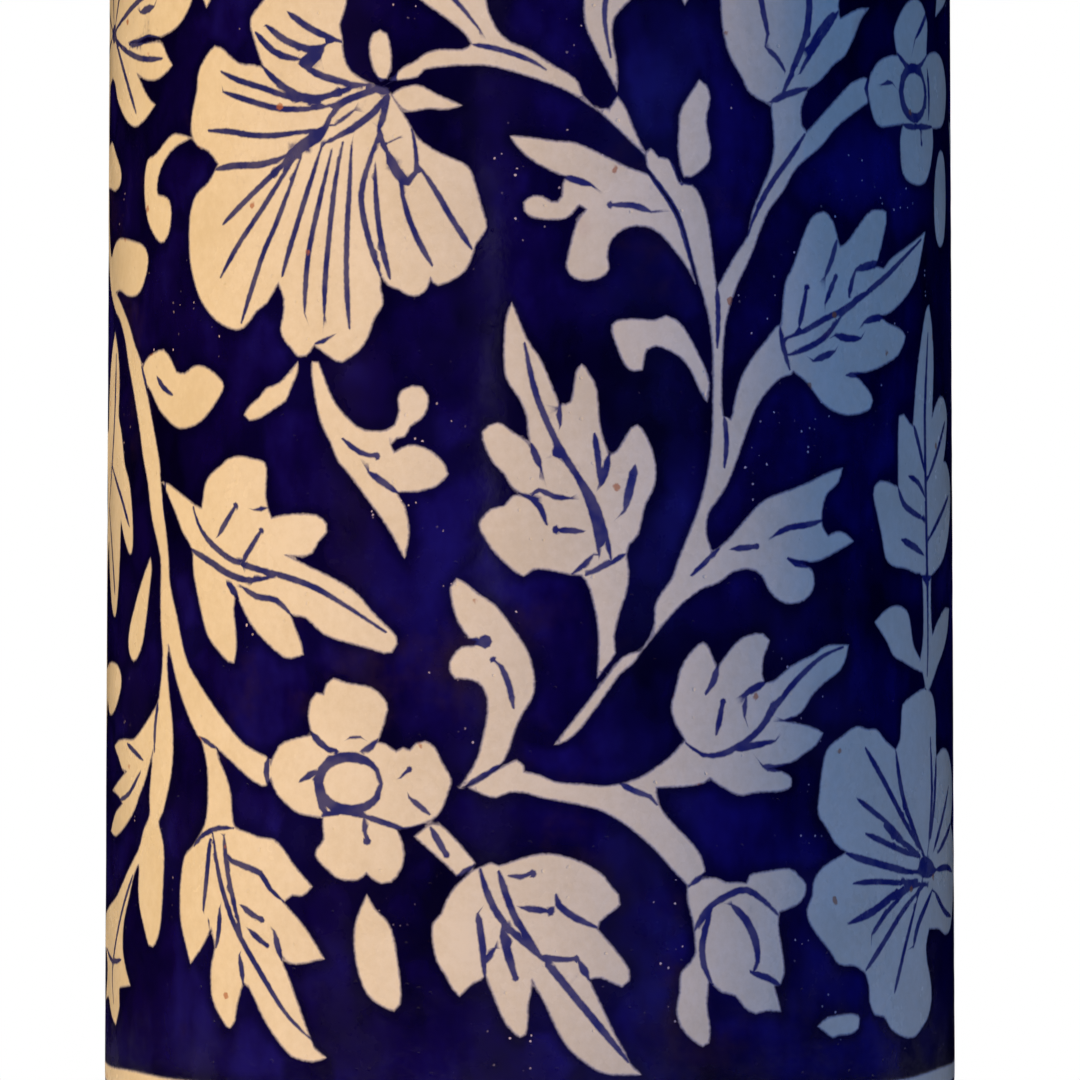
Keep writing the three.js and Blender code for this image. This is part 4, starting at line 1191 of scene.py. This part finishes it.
def liningProfile():
    # up the side that touches the clay, over the lip and down the side that shows
    hidden = besideWall(-coatIn, liningLow.z, rollOut - pot["glaze"], -1)
    shown = besideWall(-coatOut, liningLow.z + pot["glaze"], rollOut, -1)
    hidden, shown = spaced(hidden, 2.4), spaced(shown, 1.15)
    depth, rise = turning["throwingDepth"], turning["throwingRise"]
    ridged = []
    for radius, height in shown:
        fade = min(1, max(0, (rollCentre.y - 12 - height) / 20))  # no ridges near the lip or the floor
        fade *= min(1, max(0, (height - liningLow.z - 6) / 14))
        ridge = depth * fade * (0.5 - 0.5 * math.cos(2 * math.pi * height / rise + math.sin(height * 0.11)))
        ridged.append((radius + ridge, height))
    floorRadius = shown[0][0]
    floor = [(floorRadius * k / 14, liningLow.z + pot["glaze"]) for k in range(13, -1, -1)]
    under = [(hidden[0][0] * k / 14, liningLow.z) for k in range(14)]
    return under + [tuple(p) for p in hidden] + ridged[::-1] + floor


def spaced(line, step):  # fewer points along a line, evenly apart
    run = np.concatenate(([0], np.cumsum(np.hypot(*np.diff(line, axis=0).T))))
    where = np.linspace(0, run[-1], max(2, round(run[-1] / step)))
    return np.stack([np.interp(where, run, line[:, 0]), np.interp(where, run, line[:, 1])], 1)


def footProfile():
    inner, outer, top = footHigh.x - turning["footRingWidth"], footHigh.x, footHigh.z
    bevel, steps = turning["footBevel"], turning["footSteps"]
    quarter = [math.pi / 2 * k / steps for k in range(steps + 1)]
    line = [(outer - bevel + bevel * math.sin(a), bevel - bevel * math.cos(a)) for a in quarter]
    for k in range(1, 24):  # shallow grooves left by the turning tool
        height = bevel + (top - bevel) * k / 24
        wave = math.sin(k / 24 * math.pi * turning["footGrooves"])
        groove = turning["footGrooveDepth"] * max(0, wave) ** 3
        line.append((outer - groove, height))
    line += [(outer, top), (inner, top)]
    line += [(inner, top - (top - bevel) * k / 6) for k in range(1, 6)]
    line += [(inner + bevel - bevel * math.cos(a), bevel - bevel * math.sin(a)) for a in quarter]
    line += [(inner + bevel + (outer - inner - 2 * bevel) * k / 4, 0) for k in range(1, 4)]
    return line


lining = makeTurned("plain_lining", liningProfile(), "inside_glaze")
foot = makeTurned("turned_foot", footProfile(), "foot_ring")


class Finish:  # a material being wired: add() makes a node, and links or sets its inputs by name
    def __init__(self, name):
        self.material = bpy.data.materials.new(name)
        self.material.use_nodes = True
        self.tree = self.material.node_tree
        self.shader = self.tree.nodes["Principled BSDF"]
        self.place = self.add("ShaderNodeTexCoord").outputs["Object"]

    def put(self, node, socket, value):
        if hasattr(value, "is_linked"):
            self.tree.links.new(value, node.inputs[socket])
        else:
            node.inputs[socket].default_value = value

    def add(self, kind, settings=None, **inputs):
        node = self.tree.nodes.new(kind)
        for setting, value in (settings or {}).items():
            setattr(node, setting, value)
        for socket, value in inputs.items():
            self.put(node, socket.replace("_", " "), value)
        return node

    def noise(self, scale, detail=3.0, roughness=0.5, stretch=None):
        place = self.place
        if stretch:
            mapping = self.add("ShaderNodeMapping", Vector=place)
            mapping.inputs["Scale"].default_value = stretch
            place = mapping.outputs["Vector"]
        return self.add("ShaderNodeTexNoise", Vector=place, Scale=scale, Detail=detail,
                        Roughness=roughness).outputs["Fac"]

    def attribute(self, name):
        return self.add("ShaderNodeAttribute", {"attribute_name": name}).outputs["Fac"]

    def spread(self, value, fromMin, fromMax, toMin=0.0, toMax=1.0, smooth=True):
        node = self.add("ShaderNodeMapRange", {"interpolation_type": "SMOOTHSTEP" if smooth else "LINEAR"},
                        From_Min=fromMin, From_Max=fromMax, To_Min=toMin, To_Max=toMax)
        self.put(node, "Value", value)
        return node.outputs["Result"]

    def sum(self, operation, a, b):
        node = self.add("ShaderNodeMath", {"operation": operation})
        self.put(node, 0, a)
        self.put(node, 1, b)
        return node.outputs[0]

    def ramp(self, value, stops):
        node = self.add("ShaderNodeValToRGB", Fac=value)
        elements = node.color_ramp.elements
        while len(elements) < len(stops):
            elements.new(1.0)
        for element, (position, colour) in zip(elements, stops):
            element.position = position
            element.color = (*colour, 1)
        return node.outputs["Color"]

    def mix(self, factor, a, b):
        node = self.add("ShaderNodeMix", {"data_type": "RGBA"})
        for socket, value in ((0, factor), (6, a), (7, b)):
            self.put(node, socket, (*value, 1) if isinstance(value, tuple) else value)
        return node.outputs[2]

    def specks(self, scale, size, share):
        # uneven dots scattered in a share of the cells
        cells = self.add("ShaderNodeTexVoronoi", Vector=self.place, Scale=scale)
        ragged = self.sum("MULTIPLY", self.noise(scale * 3, 2.0, 0.7), 1.6 * size)
        dot = self.spread(self.sum("ADD", cells.outputs["Distance"], ragged), size * 1.8, size * 1.35)
        chosen = self.add("ShaderNodeSeparateColor", Color=cells.outputs["Color"]).outputs["Red"]
        return self.sum("MULTIPLY", dot, self.sum("LESS_THAN", chosen, share))

    def bumps(self, *layers):  # (height, strength, depth in metres)
        normal = None
        for height, strength, depth in layers:
            bump = self.add("ShaderNodeBump", Height=height, Strength=strength, Distance=depth)
            if normal is not None:
                self.put(bump, "Normal", normal)
            normal = bump.outputs["Normal"]
        self.put(self.shader, "Normal", normal)


cobaltGlaze = {
    "deep": (0.0012, 0.0003, 0.0170), "middle": (0.0040, 0.0010, 0.0640),
    "washed": (0.0090, 0.0060, 0.1500),
    # the purple tint on this line is a painted reflection and the pale glint colour a painted highlight, both
    # mixed into the cobalt's colour
    "paintedReflection": (0.0240, 0.0120, 0.0340), "glint": (0.5200, 0.4300, 0.5200),
    "creamThick": (0.720, 0.640, 0.500), "creamThin": (0.800, 0.730, 0.610),
    "brush": (0.020, 0.024, 0.165),
    "bleed": (0.090, 0.105, 0.400),  # the tint where cobalt has crept into the cream
    "iron": (0.400, 0.130, 0.045),
    "edgeSoftness": 0.26,  # millimetres
    "roughness": (0.16, 0.36),
}


def paintedGlazeFinish():
    look = cobaltGlaze
    glaze = Finish("cobalt and cream painted glaze")
    soft = look["edgeSoftness"]
    wobble = glaze.spread(glaze.noise(1500, 2.0), 0, 1, -0.16, 0.16, smooth=False)
    reserve = glaze.sum("ADD", glaze.attribute("reserve"), wobble)
    ink = glaze.sum("ADD", glaze.attribute("ink"), glaze.spread(glaze.noise(1100, 2.0), 0, 1, -0.14, 0.14,
                                                                smooth=False))

    # cobalt: brushed on in overlapping washes, darker where it was drawn round the flowers; a painted
    # reflection and painted glints are mixed in below
    wash = glaze.sum("ADD", glaze.sum("MULTIPLY", glaze.noise(34, 5.0, 0.6), 0.7),
                     glaze.sum("MULTIPLY", glaze.noise(150, 3.0, 0.6, (1, 1, 0.45)), 0.3))
    cobalt = glaze.ramp(wash, [(0.36, look["deep"]), (0.50, look["middle"]), (0.66, look["washed"])])
    contour = glaze.spread(reserve, -2.0, -0.3, 0.0, 0.6)
    cobalt = glaze.mix(contour, cobalt, look["deep"])
    # painted reflection: noise patches of reddish purple mixed into the cobalt stand for a soft reflection in
    # the glaze
    reflectionPatches = glaze.spread(glaze.noise(19, 6.0, 0.7), 0.58, 0.74, 0.0, 0.7)
    cobalt = glaze.mix(reflectionPatches, cobalt, look["paintedReflection"])
    # painted highlights: clusters of pale specks mixed into the cobalt's colour stand for glints of light on
    # the pitted glaze
    clusters = glaze.spread(glaze.noise(48, 3.0, 0.7), 0.56, 0.62)
    paintedGlints = glaze.sum("MULTIPLY", glaze.specks(900, 0.22, 0.22), clusters)
    cobalt = glaze.mix(paintedGlints, cobalt, look["glint"])

    # cream: thicker and thinner tin glaze, with the cobalt creeping in at its edges
    body = glaze.sum("ADD", glaze.sum("MULTIPLY", glaze.noise(60, 4.0, 0.6), 0.55),
                     glaze.sum("MULTIPLY", glaze.noise(700, 3.0, 0.7), 0.45))
    cream = glaze.ramp(body, [(0.38, look["creamThick"]), (0.62, look["creamThin"])])
    creep = glaze.spread(reserve, 0.0, 0.42, 0.42, 0.0)
    cream = glaze.mix(creep, cream, look["bleed"])
    strength = glaze.spread(glaze.noise(260, 2.0), 0.35, 0.65, 0.93, 1.0)
    brushed = glaze.sum("MULTIPLY", glaze.spread(ink, -0.24, 0.14), strength)
    cream = glaze.mix(brushed, cream, look["brush"])
    iron = glaze.sum("MULTIPLY", glaze.specks(230, 0.17, 0.12), 0.75)
    stain = glaze.spread(glaze.noise(42, 2.0, 0.5), 0.66, 0.74, 0.0, 0.35)
    cream = glaze.mix(glaze.sum("MAXIMUM", iron, stain), cream, look["iron"])

    colour = glaze.mix(glaze.spread(reserve, -soft, soft), cobalt, cream)
    glaze.put(glaze.shader, "Base Color", colour)
    low, high = look["roughness"]
    glaze.put(glaze.shader, "Roughness", glaze.spread(glaze.noise(45, 5.0, 0.65), 0.38, 0.68, low, high))
    glaze.shader.inputs["IOR"].default_value = 1.5
    pits = glaze.specks(520, 0.17, 0.16)
    relief = glaze.spread(reserve, -0.5, 0.5, 1.0, 0.0)  # the cobalt stands a little proud
    glaze.bumps((glaze.noise(190, 3.0, 0.55), 0.22, 0.00035), (relief, 0.35, 0.0001),
                (glaze.noise(900, 2.0, 0.6), 0.30, 0.00006),
                (glaze.sum("SUBTRACT", 1.0, pits), 0.5, 0.00015))
    return glaze.material


creamGlaze = {
    "thick": (0.640, 0.560, 0.430), "thin": (0.760, 0.690, 0.560), "stain": (0.420, 0.300, 0.180),
    "roughness": (0.18, 0.34),
}


def plainGlazeFinish():
    look = creamGlaze
    glaze = Finish("plain cream glaze")
    cream = glaze.ramp(glaze.noise(38, 5.0, 0.6), [(0.34, look["thick"]), (0.66, look["thin"])])
    runs = glaze.spread(glaze.noise(90, 4.0, 0.6, (1, 1, 0.08)), 0.55, 0.75, 0.0, 0.35)
    cream = glaze.mix(runs, cream, look["thick"])
    cream = glaze.mix(glaze.sum("MULTIPLY", glaze.specks(190, 0.12, 0.15), 0.6), cream, look["stain"])
    glaze.put(glaze.shader, "Base Color", cream)
    low, high = look["roughness"]
    glaze.put(glaze.shader, "Roughness", glaze.spread(glaze.noise(50, 4.0), 0.38, 0.66, low, high))
    glaze.bumps((glaze.noise(170, 3.0, 0.55), 0.25, 0.0004))
    return glaze.material


clayLook = {
    "light": (0.560, 0.330, 0.205), "dark": (0.360, 0.185, 0.105), "grog": (0.760, 0.620, 0.470),
    "soot": (0.150, 0.085, 0.055), "roughness": (0.78, 0.95),
}


def bareClayFinish():
    look = clayLook
    clay = Finish("bare fired clay")
    body = clay.ramp(clay.noise(70, 6.0, 0.65), [(0.30, look["dark"]), (0.70, look["light"])])
    turned = clay.spread(clay.noise(22, 3.0, 0.6, (1, 1, 40)), 0.40, 0.70, 0.0, 0.35)
    body = clay.mix(turned, body, look["dark"])
    body = clay.mix(clay.sum("MULTIPLY", clay.specks(700, 0.24, 0.2), 0.8), body, look["grog"])
    worn = clay.spread(clay.noise(120, 4.0, 0.7), 0.58, 0.74, 0.0, 0.5)
    body = clay.mix(worn, body, look["soot"])
    clay.put(clay.shader, "Base Color", body)
    low, high = look["roughness"]
    clay.put(clay.shader, "Roughness", clay.spread(clay.noise(300, 3.0), 0.35, 0.65, low, high))
    clay.bumps((clay.noise(900, 4.0, 0.7), 0.5, 0.0004),
               (clay.noise(26, 2.0, 0.5, (1, 1, 30)), 0.3, 0.0004))
    return clay.material


def dress(piece, material):
    piece.data.materials.clear()
    piece.data.materials.append(material)


paintedGlaze, plainGlaze, bareClay = paintedGlazeFinish(), plainGlazeFinish(), bareClayFinish()
for piece in (paintedHeel, paintedBody, paintedNeck):
    dress(piece, paintedGlaze)
dress(lining, plainGlaze)
dress(foot, bareClay)
for node in ("floor_slab", "heel_wall", "body_cylinder", "shoulder_ring", "neck_collar", "rim_roll"):
    for slot in frame["nodes"][node].material_slots:
        slot.material = bareClay
print("glazes and clay done")

studio = {
    "floorColour": (0.80, 0.79, 0.77), "floorRadius": 0.34,
    "wallColour": (1.0, 1.0, 1.0), "wallRadius": 3.0,
    "air": (0.62, 0.70, 0.90), "airStrength": 0.035,
    # name: (turn from the front in degrees, reach, height, width, tall, watts, colour, seen in the gloss)
    "lamps": {
        "warm key": (-47, 1.00, 0.25, 0.16, 0.40, 9.8, (1.0, 0.71, 0.40), False),
        "blue fill": (33, 1.00, 0.25, 0.40, 0.40, 3.8, (0.08, 0.33, 1.0), False),
        "glint": (-10, 1.10, 0.16, 0.03, 0.30, 0.04, (0.70, 0.60, 1.0), True),
        "back left": (-140, 1.30, 0.45, 0.60, 0.90, 4.0, (1.0, 0.90, 0.78), False),
        "back right": (150, 1.30, 0.45, 0.60, 0.90, 3.0, (0.90, 0.94, 1.0), False),
        "back": (180, 1.40, 0.50, 0.30, 0.90, 9.0, (1.0, 0.97, 0.92), False),
    },
    "topLamp": (1.25, 0.9, 0.7, (1.0, 0.96, 0.90), True),  # height, side, watts, colour
}
view = {
    "distance": 0.9477, "height": 0.1238,  # the camera looks level at the middle of the picture
    "lens": 190.7, "shift": 0.0094,
}


def stageMesh(name, vertices, faces, material):
    mesh = bpy.data.meshes.new(name)
    mesh.from_pydata(vertices, [], faces)
    mesh.materials.append(material)
    piece = bpy.data.objects.new(name, mesh)
    bpy.context.scene.collection.objects.link(piece)
    return piece


def addFloor():
    paper = Finish("pale_floor")
    tone = studio["floorColour"]
    darker = tuple(c * 0.96 for c in tone)
    paper.put(paper.shader, "Base Color", paper.ramp(paper.noise(3, 4.0), [(0.3, darker), (0.7, tone)]))
    paper.shader.inputs["Roughness"].default_value = 0.7
    turns = [2 * math.pi * k / 128 for k in range(128)]
    radius = studio["floorRadius"]
    corners = [(radius * math.cos(t), radius * math.sin(t), 0) for t in turns]
    return stageMesh("floor", corners, [tuple(range(128))], paper.material)


def addWall():  # a bright round backdrop that is seen but lights nothing
    material = bpy.data.materials.new("bright backdrop")
    material.use_nodes = True
    tree = material.node_tree
    tree.nodes.remove(tree.nodes["Principled BSDF"])
    glow = tree.nodes.new("ShaderNodeEmission")
    glow.inputs["Color"].default_value = (*studio["wallColour"], 1)
    tree.links.new(glow.outputs[0], tree.nodes["Material Output"].inputs["Surface"])
    count, radius = 96, studio["wallRadius"]
    turns = [2 * math.pi * k / count for k in range(count)]
    vertices = [(radius * math.sin(t), radius * math.cos(t), z) for z in (-radius, radius) for t in turns]
    faces = [(k, (k + 1) % count, count + (k + 1) % count, count + k) for k in range(count)]
    faces += [tuple(range(count)), tuple(range(count, 2 * count))]
    wall = stageMesh("backdrop", vertices, faces, material)
    for ray in ("diffuse", "glossy", "transmission", "volume_scatter", "shadow"):
        setattr(wall, "visible_" + ray, False)
    return wall


def addLamp(name, place, target, width, tall, watts, colour, inGloss):
    lamp = bpy.data.lights.new(name, "AREA")
    lamp.shape = "RECTANGLE"
    lamp.size, lamp.size_y = width, tall
    lamp.energy, lamp.color = watts, colour
    stand = bpy.data.objects.new(name, lamp)
    stand.location = place
    stand.rotation_euler = (Vector(target) - Vector(place)).to_track_quat("-Z", "Y").to_euler()
    bpy.context.scene.collection.objects.link(stand)
    stand.visible_camera = False
    stand.visible_glossy = inGloss


def addLamps():
    for name, (turn, reach, height, width, tall, watts, colour, inGloss) in studio["lamps"].items():
        turn = math.radians(turn)
        place = (reach * math.sin(turn), -reach * math.cos(turn), height)
        addLamp(name, place, (0, 0, place[2]), width, tall, watts, colour, inGloss)
    height, side, watts, colour, inGloss = studio["topLamp"]
    addLamp("top", (0, 0.15, height), (0, 0, 0), side, side, watts, colour, inGloss)
    air = bpy.data.worlds.new("studio air")
    air.use_nodes = True
    background = air.node_tree.nodes["Background"]
    background.inputs["Color"].default_value = (*studio["air"], 1)
    background.inputs["Strength"].default_value = studio["airStrength"]
    bpy.context.scene.world = air
    air.cycles_visibility.glossy = False  # the edges of the pot reflect a dark room


def addCamera():
    lens = bpy.data.cameras.new("camera")
    lens.sensor_width, lens.lens = 36, view["lens"]
    lens.shift_x = view["shift"]
    lens.clip_start = 0.05
    camera = bpy.data.objects.new("camera", lens)
    camera.location = (0, -view["distance"], view["height"])
    camera.rotation_euler = (math.pi / 2, 0, 0)
    bpy.context.scene.collection.objects.link(camera)
    bpy.context.scene.camera = camera


addFloor()
addWall()
addLamps()
addCamera()
bpy.context.scene.view_settings.view_transform = "Standard"
print("floor, light and camera done")
